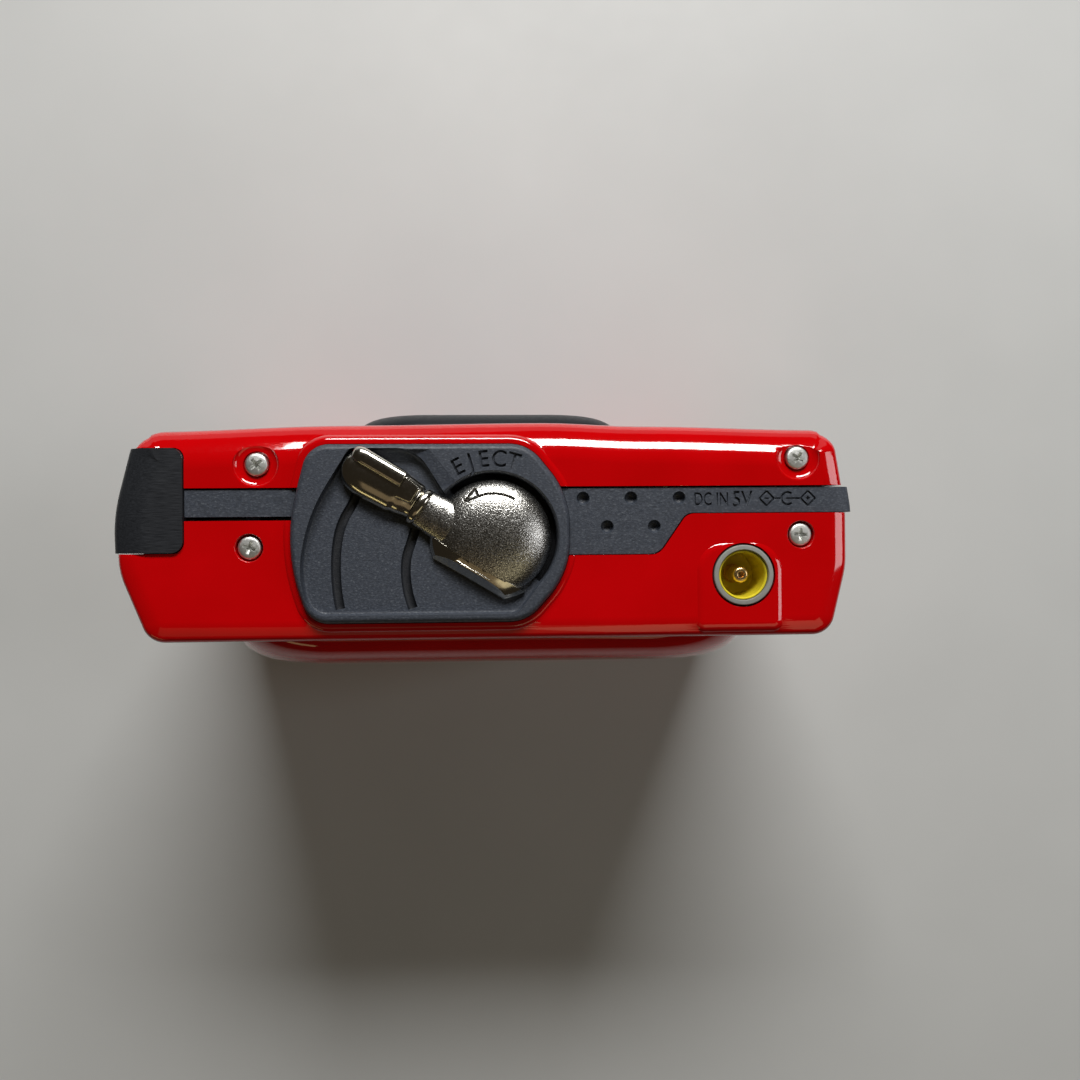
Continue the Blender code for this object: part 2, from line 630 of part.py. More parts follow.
def head_parts():
    carriage = block((-11.5, 9.3), (-0.3, 1.2), (69.0, 74.8))
    make("head_carriage", carriage, steel("head_carriage"), (HEAD_X, 0.0, 69.0))
    shape = [(-5.8, 75.0), (-5.8, 70.6), (-3.0, 69.0), (3.0, 69.0), (5.8, 70.6), (5.8, 75.0)]
    outline = [Vector((HEAD_X + x, z)) for x, z in shape]
    make("play_head", prism(outline, -9.6, -0.6, "y"), steel("play_head"), (HEAD_X, 0.0, 69.0))
    x, z = PINCH_PIVOT
    arm_origin = (x, 0.0, z)
    arm = make("pinch_arm", tube(2.2, 1.1, -2.4, -0.7, PINCH_PIVOT, "y", 20), steel("pinch_arm"), arm_origin)
    start, end = Vector(PINCH_PIVOT), Vector(PINCH_ROLLER)
    along = (end - start).normalized()
    side = Vector((-along.y, along.x)) * 1.5
    web = [start + along * 1.6 - side, end - side, end + side, start + along * 1.6 + side]
    join(arm, prism(web, -2.3, -0.8, "y"))
    join(arm, rod(1.6, -2.35, -0.75, PINCH_ROLLER, "y", 16))
    join(arm, rod(0.8, -8.6, -1.0, PINCH_ROLLER, "y", 12))
    make("pinch_pivot", rod(0.9, -2.8, 1.2, PINCH_PIVOT, "y", 16), steel("pinch_pivot"))
    roller = tube(5.0, 1.0, -8.2, -2.7, PINCH_ROLLER, "y")
    origin = (PINCH_ROLLER[0], 0.0, PINCH_ROLLER[1])
    make("pinch_roller", roller, paint("pinch_roller", (0.03, 0.03, 0.03), 0.6), origin)


def circuit_board():
    board = block((-46.0, 41.4), (10.4, 11.4), (6.0, 73.0))
    make("circuit_board", board, paint("circuit_board", (0.02, 0.16, 0.06), 0.5))


def controls():
    insets = [(0.0, 16.1), (0.0, 17.2), (1.2, 18.4), (4.0, 19.3), (9.0, 19.6)]
    rings = []
    for inset, y in insets:
        size = (PANEL_SIZE[0] - 2 * inset, PANEL_SIZE[1] - 2 * inset)
        rings.append([(p.x, y, p.y) for p in rectangle(PANEL_CENTRE, size, 16 - inset, 6)])
    panel = make("control_panel", loft(rings), black("control_panel"))
    x = PANEL_CENTRE[0]
    for name, height in BUTTONS.items():
        cut(panel, prism(rectangle((x, height), (12.8, 6.8), 3.2), 10, 25, "y"))
        cap = [(0.0, 13.4), (0.0, 19.6), (0.4, 20.0)]
        rings = []
        for inset, y in cap:
            size = (12.0 - 2 * inset, 6.0 - 2 * inset)
            rings.append([(p.x, y, p.y) for p in rectangle((x, height), size, 2.9 - inset)])
        origin = (x, 20.0, height)
        button = make(f"button_{name}", loft(rings), paint(f"button_{name}", (0.3, 0.31, 0.33), 0.4), origin)
        join(button, prism(rectangle((x, height), (15.0, 9.0), 3.6), 12.6, 13.45, "y"))
    x, z = VOLUME
    rim = circle(VOLUME, 6.2, 60)
    knurled = [p + (p - Vector(VOLUME)).normalized() * (0.0 if k % 2 else -0.3) for k, p in enumerate(rim)]
    make("volume_wheel", prism(knurled, 8.6, 11.0, "y"), black("volume_wheel"), (x, 0.0, z))
    y, z = PHONES
    socket = [(0, 42.0), (3.0, 42.0), (3.0, 54.8), (1.8, 54.8), (1.8, 43.0), (0, 43.0)]
    make("phones_socket", turned(socket, PHONES, "x", 24), steel("phones_socket"))


def to_metres():
    """Applies the Booleans, shades the pieces and scales them to metres."""
    graph = bpy.context.evaluated_depsgraph_get()
    pieces = [obj for obj in bpy.data.objects if not obj.hide_render]
    finished = {obj: bpy.data.meshes.new_from_object(obj.evaluated_get(graph)) for obj in pieces}
    for obj in list(bpy.data.objects):
        if obj not in finished:
            bpy.data.objects.remove(obj)
    for obj, mesh in finished.items():
        obj.modifiers.clear()
        obj.data = mesh
        mesh.name = obj.name
        mesh.transform(Matrix.Scale(MM, 4))
        mesh.shade_smooth()
        mesh.set_sharp_from_angle(angle=math.radians(32))
        obj.location = obj.location * MM


def build():
    clear_scene()
    rear_shell()
    mid_frame()
    front_shell()
    latch_housing()
    screws()
    battery_parts()
    power_jack()
    latch_parts()
    latch_spring()
    cassette_door()
    door_hinge()
    deck_plate()
    tape_drive()
    head_parts()
    circuit_board()
    controls()
    to_metres()


build()
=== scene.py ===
"""Looks of the portable cassette player: finer shapes, procedural materials, light and camera.

Shapes are made in millimetres, in the same places as the CAD, and piece() scales them to metres.
Each shape then rides on its CAD body, so that it follows the joints.
"""

import math

import bmesh
import bpy
from mathutils import Matrix, Vector


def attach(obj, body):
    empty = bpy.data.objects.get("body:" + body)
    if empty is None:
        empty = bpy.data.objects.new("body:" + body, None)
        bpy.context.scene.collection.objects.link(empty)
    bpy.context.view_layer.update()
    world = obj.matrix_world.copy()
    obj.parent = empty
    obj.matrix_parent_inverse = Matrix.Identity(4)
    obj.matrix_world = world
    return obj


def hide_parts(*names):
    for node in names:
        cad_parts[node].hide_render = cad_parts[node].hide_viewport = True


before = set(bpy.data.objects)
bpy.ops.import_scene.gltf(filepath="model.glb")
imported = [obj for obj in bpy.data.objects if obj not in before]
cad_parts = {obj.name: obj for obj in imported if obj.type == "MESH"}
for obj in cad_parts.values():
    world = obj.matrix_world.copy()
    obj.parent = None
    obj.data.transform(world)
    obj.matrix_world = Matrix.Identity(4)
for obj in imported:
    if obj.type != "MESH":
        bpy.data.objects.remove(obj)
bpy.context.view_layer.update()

MM = 0.001
Y_SHIFT = 0.8  # from the end outline's own Y to the frame's
FIT_GAP = 0.12  # seams between the outer parts
HOUSING_GAP = 0.15

END_Z = 84.0
FLOOR_Z = 2.0
END_WALL_Z = 81.6
BODY_CORNERS = [
    (54.2, 15.8, 3.8),
    (-52.6, 15.8, 4.5),
    (-55.9, 3.0, 25.0),
    (-55.6, -5.5, 12.0),
    (-51.2, -16.2, 3.6),
    (53.6, -16.2, 3.6),
    (56.2, -5.5, 14.0),
    (56.2, 3.5, 20.0),
]
BAND_TOP = 6.9
BAND_LEFT = 2.8
BAND_RIGHT = 3.0
BAND_WIDE = -3.3
BAND_STEP = (26.4, 30.8)
BAY_X = (-48.15, 52.8)
DOOR_PLANE = -12.7
DOOR_Z = (4.4, 79.0)
HINGE = (-14.3, 4.4)
BULGE_CENTRE = (1.0, 41.5)
BULGE_SIZE = (89.0, 65.0)
WINDOW_CENTRE = (1.5, 41.0)
HUB = (0.9, -0.6)
POCKET_R = 9.8
RECESS_Z = 84.0
DOME_Z = 84.4  # where the hub starts to curve in
RIM_Z = 86.0
LEVER_DEG = 149.2
# the handle's key cross-sections: x, middle, half width, low, high
SHOULDER_SECTIONS = [
    (6.2, 1.45, 3.4, 84.3, 86.6),
    (8.3, 1.5, 3.25, 84.3, 86.45),
    (10.9, 1.55, 3.0, 84.3, 86.25),
    (12.2, 1.5, 2.8, 84.3, 86.1),
]
HANDLE_SECTIONS = [
    (12.4, 1.25, 2.5, 84.4, 86.2),
    (12.9, 1.2, 2.8, 84.3, 86.5),
    (15.2, 1.3, 3.1, 84.3, 86.8),
    (16.4, 1.35, 3.4, 84.3, 86.95),
    (20.8, 1.42, 3.52, 84.3, 87.0),
]
HOUSING_CORNERS = [
    (6.3, 13.6, 6.0),
    (-26.8, 13.6, 4.0),
    (-30.7, -1.5, 28.0),
    (-26.8, -13.4, 4.0),
    (6.0, -13.4, 6.0),
    (12.6, -6.0, 13.0),
    (12.6, 5.8, 13.0),
]
GROOVES = [
    [(-19.6, 6.6), (-20.3, 4.7), (-21.5, 2.6), (-22.3, 0.5), (-22.75, -2.0)]
    + [(-22.9, -4.6), (-22.85, -7.0), (-22.65, -9.2), (-22.3, -11.3)],
    [(-10.9, 0.8), (-11.6, -1.5), (-12.1, -3.0), (-12.35, -4.6)]
    + [(-12.35, -6.6), (-12.1, -8.6), (-11.75, -10.0), (-11.35, -11.3)],
]
EJECT_DEG = (116.0, 106.0, 96.5, 85.1, 74.4)
BATTERY_HINGE = (-55.35, 70.4)
END_SCREWS = [(-34.8, 10.7), (48.3, 11.4), (-35.9, -1.9), (48.7, -0.5)]
DIMPLES = [(14.8, 5.3), (22.2, 5.3), (29.7, 5.3), (18.5, 0.9), (25.8, 0.9)]
JACK = (39.6, -6.7)
PANEL_CENTRE = (0.3, 45.5)
PANEL_SIZE = (44.0, 63.0)
BUTTONS = {"stop": 21.0, "play": 33.0, "forward": 45.0, "rewind": 57.0}
VOLUME = (49.3, 52.0)
PHONES = (10.4, 20.0)


# ---------------------------------------------------------------- shapes


def filleted(corners, steps=12):
    outline = []
    for i, (x, y, radius) in enumerate(corners):
        here = Vector((x, y))
        if radius == 0:
            outline.append(here)
            continue
        before = (Vector(corners[i - 1][:2]) - here).normalized()
        after = (Vector(corners[(i + 1) % len(corners)][:2]) - here).normalized()
        half = math.acos(max(-1.0, min(1.0, before.dot(after)))) / 2
        reach = radius / math.tan(half)
        centre = here + (before + after).normalized() * (radius / math.sin(half))
        start = here + before * reach - centre
        end = here + after * reach - centre
        sweep = math.atan2(start.x * end.y - start.y * end.x, start.dot(end))
        for k in range(steps + 1):
            turn = sweep * k / steps
            cos, sin = math.cos(turn), math.sin(turn)
            spun = Vector((start.x * cos - start.y * sin, start.x * sin + start.y * cos))
            outline.append(centre + spun)
    return outline


def normals(outline):
    found = []
    for i in range(len(outline)):
        along = (outline[(i + 1) % len(outline)] - outline[i - 1]).normalized()
        found.append(Vector((along.y, -along.x)))
    return found


def offset(outline, distance):
    return [p + n * distance for p, n in zip(outline, normals(outline))]


def rectangle(centre, size, radius, steps=12):
    x, y = size[0] / 2, size[1] / 2
    corners = [(x, y, radius), (-x, y, radius), (-x, -y, radius), (x, -y, radius)]
    return [p + Vector(centre) for p in filleted(corners, steps)]


def on_circle(centre, radius, angle):
    return Vector((centre[0] + radius * math.cos(angle), centre[1] + radius * math.sin(angle)))


def circle(centre, radius, steps=64):
    return [on_circle(centre, radius, math.tau * k / steps) for k in range(steps)]


def loft(rings, caps=True):
    bm = bmesh.new()
    made = [[bm.verts.new(point) for point in ring] for ring in rings]
    for low, high in zip(made, made[1:]):
        for i in range(len(low)):
            j = (i + 1) % len(low)
            bm.faces.new((low[i], low[j], high[j], high[i]))
    if caps:
        bm.faces.new(list(reversed(made[0])))
        bm.faces.new(made[-1])
    bmesh.ops.recalc_face_normals(bm, faces=bm.faces)
    return bm


PLACES = {
    "z": lambda a, b, h: (a, b, h),
    "y": lambda a, b, h: (a, h, b),
    "x": lambda a, b, h: (h, a, b),
}


def prism(outline, low, high, along="z"):
    place = PLACES[along]
    return loft([[place(p.x, p.y, h) for p in outline] for h in (low, high)])


def stack(outline, levels, along="z"):
    """A body of one outline at several (inset, height) levels."""
    place = PLACES[along]
    return loft([[place(p.x, p.y, h) for p in offset(outline, -inset)] for inset, h in levels])


def block(x, y, z):
    outline = [Vector(p) for p in ((x[0], y[0]), (x[1], y[0]), (x[1], y[1]), (x[0], y[1]))]
    return prism(outline, z[0], z[1])


def turned(profile, centre, along="z", steps=64):
    place = PLACES[along]
    bm = bmesh.new()
    rings = []
    for radius, height in profile:
        if radius == 0:
            rings.append([bm.verts.new(place(centre[0], centre[1], height))])
            continue
        ring = circle(centre, radius, steps)
        rings.append([bm.verts.new(place(p.x, p.y, height)) for p in ring])
    pairs = list(zip(rings, rings[1:]))
    if profile[0][0] != 0:
        pairs.append((rings[-1], rings[0]))
    for one, two in pairs:
        for i in range(steps):
            j = (i + 1) % steps
            corners = [one[i % len(one)], one[j % len(one)], two[j % len(two)], two[i % len(two)]]
            face = list(dict.fromkeys(corners))
            if len(face) > 2:
                bm.faces.new(face)
    bmesh.ops.recalc_face_normals(bm, faces=bm.faces)
    return bm


def rod(radius, low, high, centre, along="z", steps=48):
    return turned([(0, low), (radius, low), (radius, high), (0, high)], centre, along, steps)


def quarter_turn(steps, first=0):
    return [math.pi / 2 * k / steps for k in range(first, steps + 1)]


def rounded(start, inset, base, rise, steps, first=1):
    """Points of a quarter-round edge that goes in by inset while it rises."""
    return [
        (start + inset * (1 - math.cos(a)), base + rise * math.sin(a)) for a in quarter_turn(steps, first)
    ]


def solid(bm, name="shape"):
    mesh = bpy.data.meshes.new(name)
    bm.to_mesh(mesh)
    bm.free()
    obj = bpy.data.objects.new(name, mesh)
    bpy.context.scene.collection.objects.link(obj)
    return obj


def drop(obj):
    mesh = obj.data
    bpy.data.objects.remove(obj)
    if mesh and mesh.users == 0 and isinstance(mesh, bpy.types.Mesh):
        bpy.data.meshes.remove(mesh)


def bake(obj):
    """Applies the object's modifiers to its mesh."""
    graph = bpy.context.evaluated_depsgraph_get()
    mesh = bpy.data.meshes.new_from_object(obj.evaluated_get(graph))
    obj.modifiers.clear()
    obj.data = mesh


def carve(target, *shapes, operation="DIFFERENCE"):
    for bm in shapes:
        helper = bm if isinstance(bm, bpy.types.Object) else solid(bm, "helper")
        modifier = target.modifiers.new("carve", "BOOLEAN")
        modifier.operation = operation
        modifier.object = helper
        modifier.solver = "MANIFOLD"
        bake(target)
        drop(helper)
    return target


def weld(target, *shapes):
    return carve(target, *shapes, operation="UNION")


def piece(obj, name, material, body, replaces=(), bevel=0.0, angle=30, weighted=True):
    """Scales a finished shape to metres, shades it, and rides it on its CAD body."""
    obj.name = name
    obj.data.name = name
    obj.data.transform(Matrix.Scale(MM, 4) @ Matrix.Translation((0, Y_SHIFT, 0)))
    obj.data.materials.clear()
    obj.data.materials.append(material)
    obj.data.shade_smooth()
    if bevel:
        modifier = obj.modifiers.new("bevel", "BEVEL")
        modifier.width = bevel * MM
        modifier.segments = 3
        modifier.limit_method = "ANGLE"
        modifier.angle_limit = math.radians(angle)
        modifier.use_clamp_overlap = True
        modifier.miter_outer = "MITER_ARC"
        bake(obj)
    obj.data.set_sharp_from_angle(angle=math.radians(angle + (20 if bevel else 0)))
    if weighted:
        modifier = obj.modifiers.new("normals", "WEIGHTED_NORMAL")
        modifier.keep_sharp = True
        modifier.weight = 60
        bake(obj)
    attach(obj, body)
    for node in replaces:
        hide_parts(node)
    return obj


# ---------------------------------------------------------------- materials


class Nodes:
    """A short way to write a material's node tree. Lengths are in millimetres."""

    def __init__(self, name):
        self.material = bpy.data.materials.new(name)
        self.material.use_nodes = True
        self.tree = self.material.node_tree
        self.shader = self.tree.nodes["Principled BSDF"]
        place = self.add("ShaderNodeTexCoord")
        scale = self.add("ShaderNodeMapping")
        scale.inputs["Scale"].default_value = (1000, 1000, 1000)
        self.link(place.outputs["Object"], scale.inputs["Vector"])
        self.place = scale.outputs["Vector"]
        self.last_bump = None

    def add(self, kind, **values):
        node = self.tree.nodes.new(kind)
        for key, value in values.items():
            setattr(node, key, value)
        return node

    def link(self, source, target):
        self.tree.links.new(source, target)

    def set(self, **values):
        for key, value in values.items():
            self.shader.inputs[key.replace("_", " ")].default_value = value
        return self

    def stretched(self, scale):
        node = self.add("ShaderNodeMapping")
        node.inputs["Scale"].default_value = scale
        self.link(self.place, node.inputs["Vector"])
        return node.outputs["Vector"]

    def noise(self, size, detail=2.0, roughness=0.5, stretch=(1, 1, 1)):
        """Noise whose blobs are about size millimetres across."""
        node = self.add("ShaderNodeTexNoise")
        node.inputs["Scale"].default_value = 1.0
        node.inputs["Detail"].default_value = detail
        node.inputs["Roughness"].default_value = roughness
        self.link(self.stretched([s / size for s in stretch]), node.inputs["Vector"])
        return node.outputs["Fac"]

    def cells(self, size, feature="F1", randomness=1.0):
        """Cells about size millimetres across, by distance."""
        node = self.add("ShaderNodeTexVoronoi", feature=feature)
        node.inputs["Scale"].default_value = 1.0
        node.inputs["Randomness"].default_value = randomness
        self.link(self.stretched([1 / size] * 3), node.inputs["Vector"])
        return node.outputs["Distance"]

    def height(self):
        """The object's own Z in millimetres."""
        node = self.add("ShaderNodeSeparateXYZ")
        self.link(self.place, node.inputs["Vector"])
        return node.outputs["Z"]

    def ramp(self, factor, stops):
        node = self.add("ShaderNodeValToRGB")
        elements = node.color_ramp.elements
        while len(elements) < len(stops):
            elements.new(0.5)
        for element, (position, colour) in zip(elements, stops):
            element.position = position
            element.color = colour if len(colour) == 4 else (*colour, 1.0)
        self.link(factor, node.inputs["Fac"])
        return node.outputs["Color"]

    def span(self, factor, low, high, start=0.0, end=1.0):
        """The factor's range start to end, spread over low to high."""
        node = self.add("ShaderNodeMapRange")
        node.inputs["From Min"].default_value = start
        node.inputs["From Max"].default_value = end
        node.inputs["To Min"].default_value = low
        node.inputs["To Max"].default_value = high
        self.link(factor, node.inputs["Value"])
        return node.outputs["Result"]

    def mix(self, factor, one, two):
        node = self.add("ShaderNodeMix", data_type="RGBA")
        for value, name in ((factor, 0), (one, 6), (two, 7)):
            if isinstance(value, (tuple, list)):
                node.inputs[name].default_value = (*value, 1.0) if len(value) == 3 else value
            elif isinstance(value, float):
                node.inputs[name].default_value = value
            else:
                self.link(value, node.inputs[name])
        return node.outputs[2]

    def colour(self, value):
        self.link(value, self.shader.inputs["Base Color"])
        return self

    def rough(self, value):
        self.link(value, self.shader.inputs["Roughness"])
        return self

    def bump(self, height, depth):
        """depth is the height in millimetres of the full range of the texture."""
        node = self.add("ShaderNodeBump")
        node.inputs["Strength"].default_value = 1.0
        node.inputs["Distance"].default_value = depth * MM
        self.link(height, node.inputs["Height"])
        if self.last_bump:
            self.link(self.last_bump, node.inputs["Normal"])
        self.last_bump = node.outputs["Normal"]
        self.link(self.last_bump, self.shader.inputs["Normal"])
        return self


def red_paint():
    n = Nodes("red_paint")
    n.set(Metallic=0.0, Coat_Weight=0.6, Coat_Roughness=0.04, IOR=1.5)
    tone = n.noise(14.0, 3.0)
    n.colour(n.ramp(tone, [(0.3, (0.50, 0.0, 0.001)), (0.7, (0.57, 0.0, 0.002))]))
    scuff = n.noise(0.5, 6.0, 0.7, (1.0, 0.35, 1.0))
    n.rough(n.span(scuff, 0.05, 0.1, 0.35, 0.8))
    n.bump(n.noise(1.3, 1.0), 0.006)
    n.bump(n.noise(0.25, 1.0), 0.0006)
    return n.material


def grained_black(
    name="black_frame", base=0.030, grain=0.22, depth=0.035, rough=(0.42, 0.6), pit=None, shine=0.5
):
    """Moulded black with a fine grain whose brightest specks are painted glints; below the height pit the
    colour is darkened as painted shade in the deep grooves.
    """
    n = Nodes(name)
    n.set(Metallic=0.0, IOR=1.5, Specular_IOR_Level=shine)
    speck = n.noise(grain, 3.0, 0.65, (0.55, 1.0, 1.0))
    dark = (base * 0.9, base * 1.08, base * 1.45)
    light = (base * 1.6, base * 1.9, base * 2.55)
    # painted glints: the brightest specks of the grain are sparkle painted into the colour
    painted_glint = (base * 3.2, base * 3.6, base * 4.2)
    tone = n.ramp(speck, [(0.34, dark), (0.58, light), (0.68, painted_glint)])
    # painted shade: below the height pit the colour is mixed towards a darker black, as shade in the deep
    # grooves
    if pit:
        unshaded = n.span(n.height(), 0.0, 1.0, pit - 0.15, pit + 0.1)
        tone = n.mix(unshaded, (base * 0.4, base * 0.46, base * 0.6), tone)
    n.colour(tone)
    n.rough(n.span(n.noise(0.6, 3.0), rough[0], rough[1], 0.3, 0.7))
    n.bump(speck, depth)
    n.bump(n.noise(3.0, 2.0), 0.004)
    return n.material


def hairline_black():
    n = Nodes("black_door")
    n.set(Metallic=0.0, IOR=1.5)
    lines = n.noise(0.13, 4.0, 0.6, (0.06, 1.0, 1.0))
    n.colour(n.ramp(lines, [(0.25, (0.007, 0.008, 0.010)), (0.75, (0.026, 0.029, 0.035))]))
    n.rough(n.span(lines, 0.36, 0.52, 0.3, 0.7))
    n.bump(lines, 0.012)
    return n.material


def polished(name, tint=(0.74, 0.71, 0.63), rough=0.07):
    n = Nodes(name)
    n.set(Metallic=1.0)
    n.colour(n.ramp(n.noise(4.0, 3.0), [(0.3, tint), (0.7, tuple(c * 0.93 for c in tint))]))
    n.rough(n.span(n.noise(0.6, 5.0, 0.7), rough, rough + 0.07, 0.4, 0.75))
    n.bump(n.noise(0.9, 2.0), 0.0015)
    return n.material


def sparkled():
    """Satin chrome, blasted before plating: the bump turns each grain another way, and the grain's light
    and dark flecks are painted sparkle in the colour.
    """
    n = Nodes("lever_dome")
    n.set(Metallic=1.0)
    grain = n.noise(0.17, 1.0, 0.5)
    # painted sparkle: the dark, middle and brightest grain colours stand for grains that mirror the light
    # each way
    dark, middle, painted_glint = (0.26, 0.255, 0.24), (0.48, 0.47, 0.44), (0.86, 0.86, 0.84)
    n.colour(n.ramp(grain, [(0.36, dark), (0.52, middle), (0.66, painted_glint)]))
    n.rough(n.span(n.cells(0.2), 0.16, 0.36))
    n.bump(grain, 0.045)
    n.bump(n.noise(0.6, 2.0), 0.015)
    return n.material


def worn_steel(name, tint, rough=0.3, stretch=(1, 1, 1), grain=0.12, depth=0.002):
    n = Nodes(name)
    n.set(Metallic=1.0)
    n.colour(n.ramp(n.noise(1.5, 4.0), [(0.3, tint), (0.75, tuple(c * 0.75 for c in tint))]))
    lines = n.noise(grain, 4.0, 0.6, stretch)
    n.rough(n.span(lines, rough - 0.08, rough + 0.12, 0.3, 0.7))
    n.bump(lines, depth)
    return n.material


def plastic(name, one, two, rough=0.35, grain=0.3, depth=0.003):
    n = Nodes(name)
    n.set(Metallic=0.0, IOR=1.48)
    n.colour(n.ramp(n.noise(grain * 4, 4.0), [(0.3, one), (0.7, two)]))
    n.rough(n.span(n.noise(grain, 3.0), rough - 0.05, rough + 0.1, 0.3, 0.7))
    n.bump(n.noise(grain, 2.0), depth)
    return n.material


def board():
    n = Nodes("board_green")
    n.set(Metallic=0.0, Coat_Weight=0.4)
    tracks = n.cells(3.0, feature="DISTANCE_TO_EDGE", randomness=0.7)
    n.colour(n.ramp(tracks, [(0.04, (0.05, 0.2, 0.08)), (0.07, (0.008, 0.06, 0.025))]))
    n.rough(n.span(n.noise(0.5), 0.3, 0.45))
    n.bump(n.span(tracks, 1.0, 0.0, 0.03, 0.08), 0.03)
    return n.material


def smoked():
    n = Nodes("window_smoke")
    n.set(Transmission_Weight=0.85, IOR=1.49, Roughness=0.03)
    n.colour(n.ramp(n.noise(8.0), [(0.3, (0.10, 0.10, 0.11)), (0.7, (0.13, 0.13, 0.14))]))
    n.bump(n.noise(5.0), 0.002)
    return n.material


RED = red_paint()
BLACK = grained_black()
# painted shade darkens the grooves and the deep gap round the hub, below 83.7 mm
BLACK_HOUSING = grained_black("black_housing", pit=83.7)
BLACK_FINE = grained_black("black_panel", 0.006, 0.14, 0.012, (0.36, 0.46), shine=0.22)
HAIRLINE = hairline_black()
INNER = grained_black("black_inner", 0.022, 0.3, 0.01, (0.5, 0.65))
CHROME = polished("lever_chrome", rough=0.12)
DOME = sparkled()
SCREW = worn_steel("screw_steel", (0.78, 0.79, 0.76), 0.42, (1, 1, 1), 0.16, 0.04)
STEEL = worn_steel("plain_steel", (0.62, 0.62, 0.6), 0.26, (0.08, 1, 1), 0.1, 0.002)
BRASS = worn_steel("brass_turned", (0.78, 0.56, 0.26), 0.22, (1, 0.1, 1), 0.1, 0.002)
GOLD = worn_steel("pin_gold", (0.95, 0.66, 0.30), 0.24)
GREY = plastic("jack_grey", (0.25, 0.255, 0.235), (0.29, 0.295, 0.275), 0.4, 0.25, 0.004)
YELLOW = plastic("jack_yellow", (0.70, 0.58, 0.02), (0.80, 0.68, 0.04), 0.3, 0.3, 0.003)
BUTTON = grained_black("button_grey", 0.16, 0.16, 0.01, (0.42, 0.55))
CELL = plastic("cell_wrap", (0.10, 0.16, 0.19), (0.12, 0.19, 0.23), 0.25, 0.5, 0.002)
RUBBER = grained_black("black_rubber", 0.018, 0.12, 0.006, (0.6, 0.75))
REEL = plastic("reel_white", (0.62, 0.61, 0.57), (0.68, 0.67, 0.63), 0.35, 0.3, 0.003)
BOARD = board()
SMOKE = smoked()


# ---------------------------------------------------------------- body


def edge_profile(crown, slope, corner):
    """(inset, drop) points: a crown that eases down to the slope, then a tighter corner."""
    lean = math.atan(slope)
    radius = corner / (1 - math.sin(lean))
    points = []
    for k in range(9):
        t = k / 8
        points.append((corner + crown * (1 - t), 0.5 * slope * crown * t * t))
    for k in range(1, 10):
        a = lean + (math.pi / 2 - lean) * k / 9
        fall = 0.5 * slope * crown + radius * (math.cos(lean) - math.cos(a))
        points.append((radius * (1 - math.sin(a)), fall))
    return points


SHARP_EDGE = edge_profile(2.4, 0.35, 0.9)
SOFT_EDGE = edge_profile(5.0, 0.72, 1.2)


def body_edge(n, k):
    """The rounded edge by the direction that the side faces: the +Y edge is the softest."""
    soft = max(0.0, n.y) ** 2
    one, two = SHARP_EDGE[k], SOFT_EDGE[k]
    return one[0] + (two[0] - one[0]) * soft, one[1] + (two[1] - one[1]) * soft


def swell(x, n):
    """How far the +Y side stands out over the width of the control panel."""
    if n.y < 0.9:
        return 0.0
    keys = [(-52.0, 0.25), (-22.0, 1.15), (9.0, 1.5), (24.0, 0.95), (53.0, 0.3)]
    for (x0, h0), (x1, h1) in zip(keys, keys[1:]):
        if x0 <= x <= x1:
            t = (x - x0) / (x1 - x0)
            return h0 + (h1 - h0) * t * t * (3 - 2 * t)
    return 0.0


def body_outline():
    """The end outline with points along its straight sides too."""
    outline = []
    corners = filleted(BODY_CORNERS)
    for one, two in zip(corners, corners[1:] + corners[:1]):
        pieces = max(1, int((two - one).length / 3.0))
        outline += [one.lerp(two, k / pieces) for k in range(pieces)]
    return outline


def core(grow=0.0, top=END_Z, edge=body_edge):
    """The whole body as one solid, larger all round by grow."""
    outline = body_outline()
    ns = normals(outline)
    foot = 2.6
    rings = []
    for a in quarter_turn(9):
        out = grow - foot * (1 - math.sin(a))
        height = foot * (1 - math.cos(a))
        rings.append([(p.x + n.x * out, p.y + n.y * out, height) for p, n in zip(outline, ns)])
    for height in (30.0, 60.0, 72.0):
        share = max(0.0, (height - 40) / 44)
        rings.append(
            [
                (p.x + n.x * grow, p.y + n.y * grow + swell(p.x, n) * share, height)
                for p, n in zip(outline, ns)
            ]
        )
    for k in range(17, -1, -1):
        ring = []
        for p, n in zip(outline, ns):
            inset, fall = edge(n, k)
            q = p + n * (grow - inset)
            ring.append((q.x, q.y + swell(p.x, n), top - fall))
        rings.append(ring)
    return loft(rings)


def front_region():
    """The outline of the red below the band, a gap clear of it."""
    gap = FIT_GAP
    return filleted(
        [
            (-70.0, BAND_LEFT - 0.6, 0.0),
            (-70.0, -40.0, 0.0),
            (70.0, -40.0, 0.0),
            (70.0, BAND_RIGHT - gap, 0.0),
            (BAND_STEP[1] + gap, BAND_RIGHT - gap, 2.2),
            (BAND_STEP[0] + gap, BAND_WIDE - gap, 2.4),
            (-8.0, BAND_WIDE - gap, 0.0),
            (-8.0, BAND_LEFT - 0.6, 0.0),
        ]
    )


def band_region():
    """The outline of the black band with its wide part."""
    return filleted(
        [
            (70.0, BAND_TOP, 0.0),
            (-70.0, BAND_TOP, 0.0),
            (-70.0, BAND_LEFT, 0.0),
            (-8.0, BAND_LEFT, 0.0),
            (-8.0, BAND_WIDE, 0.0),
            (BAND_STEP[0], BAND_WIDE, 2.6),
            (BAND_STEP[1], BAND_RIGHT, 2.0),
            (70.0, BAND_RIGHT, 0.0),
        ]
    )


def housing_hole():
    return prism(offset(filleted(HOUSING_CORNERS), HOUSING_GAP), 79.7, 95.0)


def housing_collar():
    """The raised lip in the red round the housing."""
    levels = [(-1.6, 80.5), (-1.6, 83.1)] + rounded(-1.6, 1.1, 83.1, 1.2, 8)
    return stack(filleted(HOUSING_CORNERS), levels)


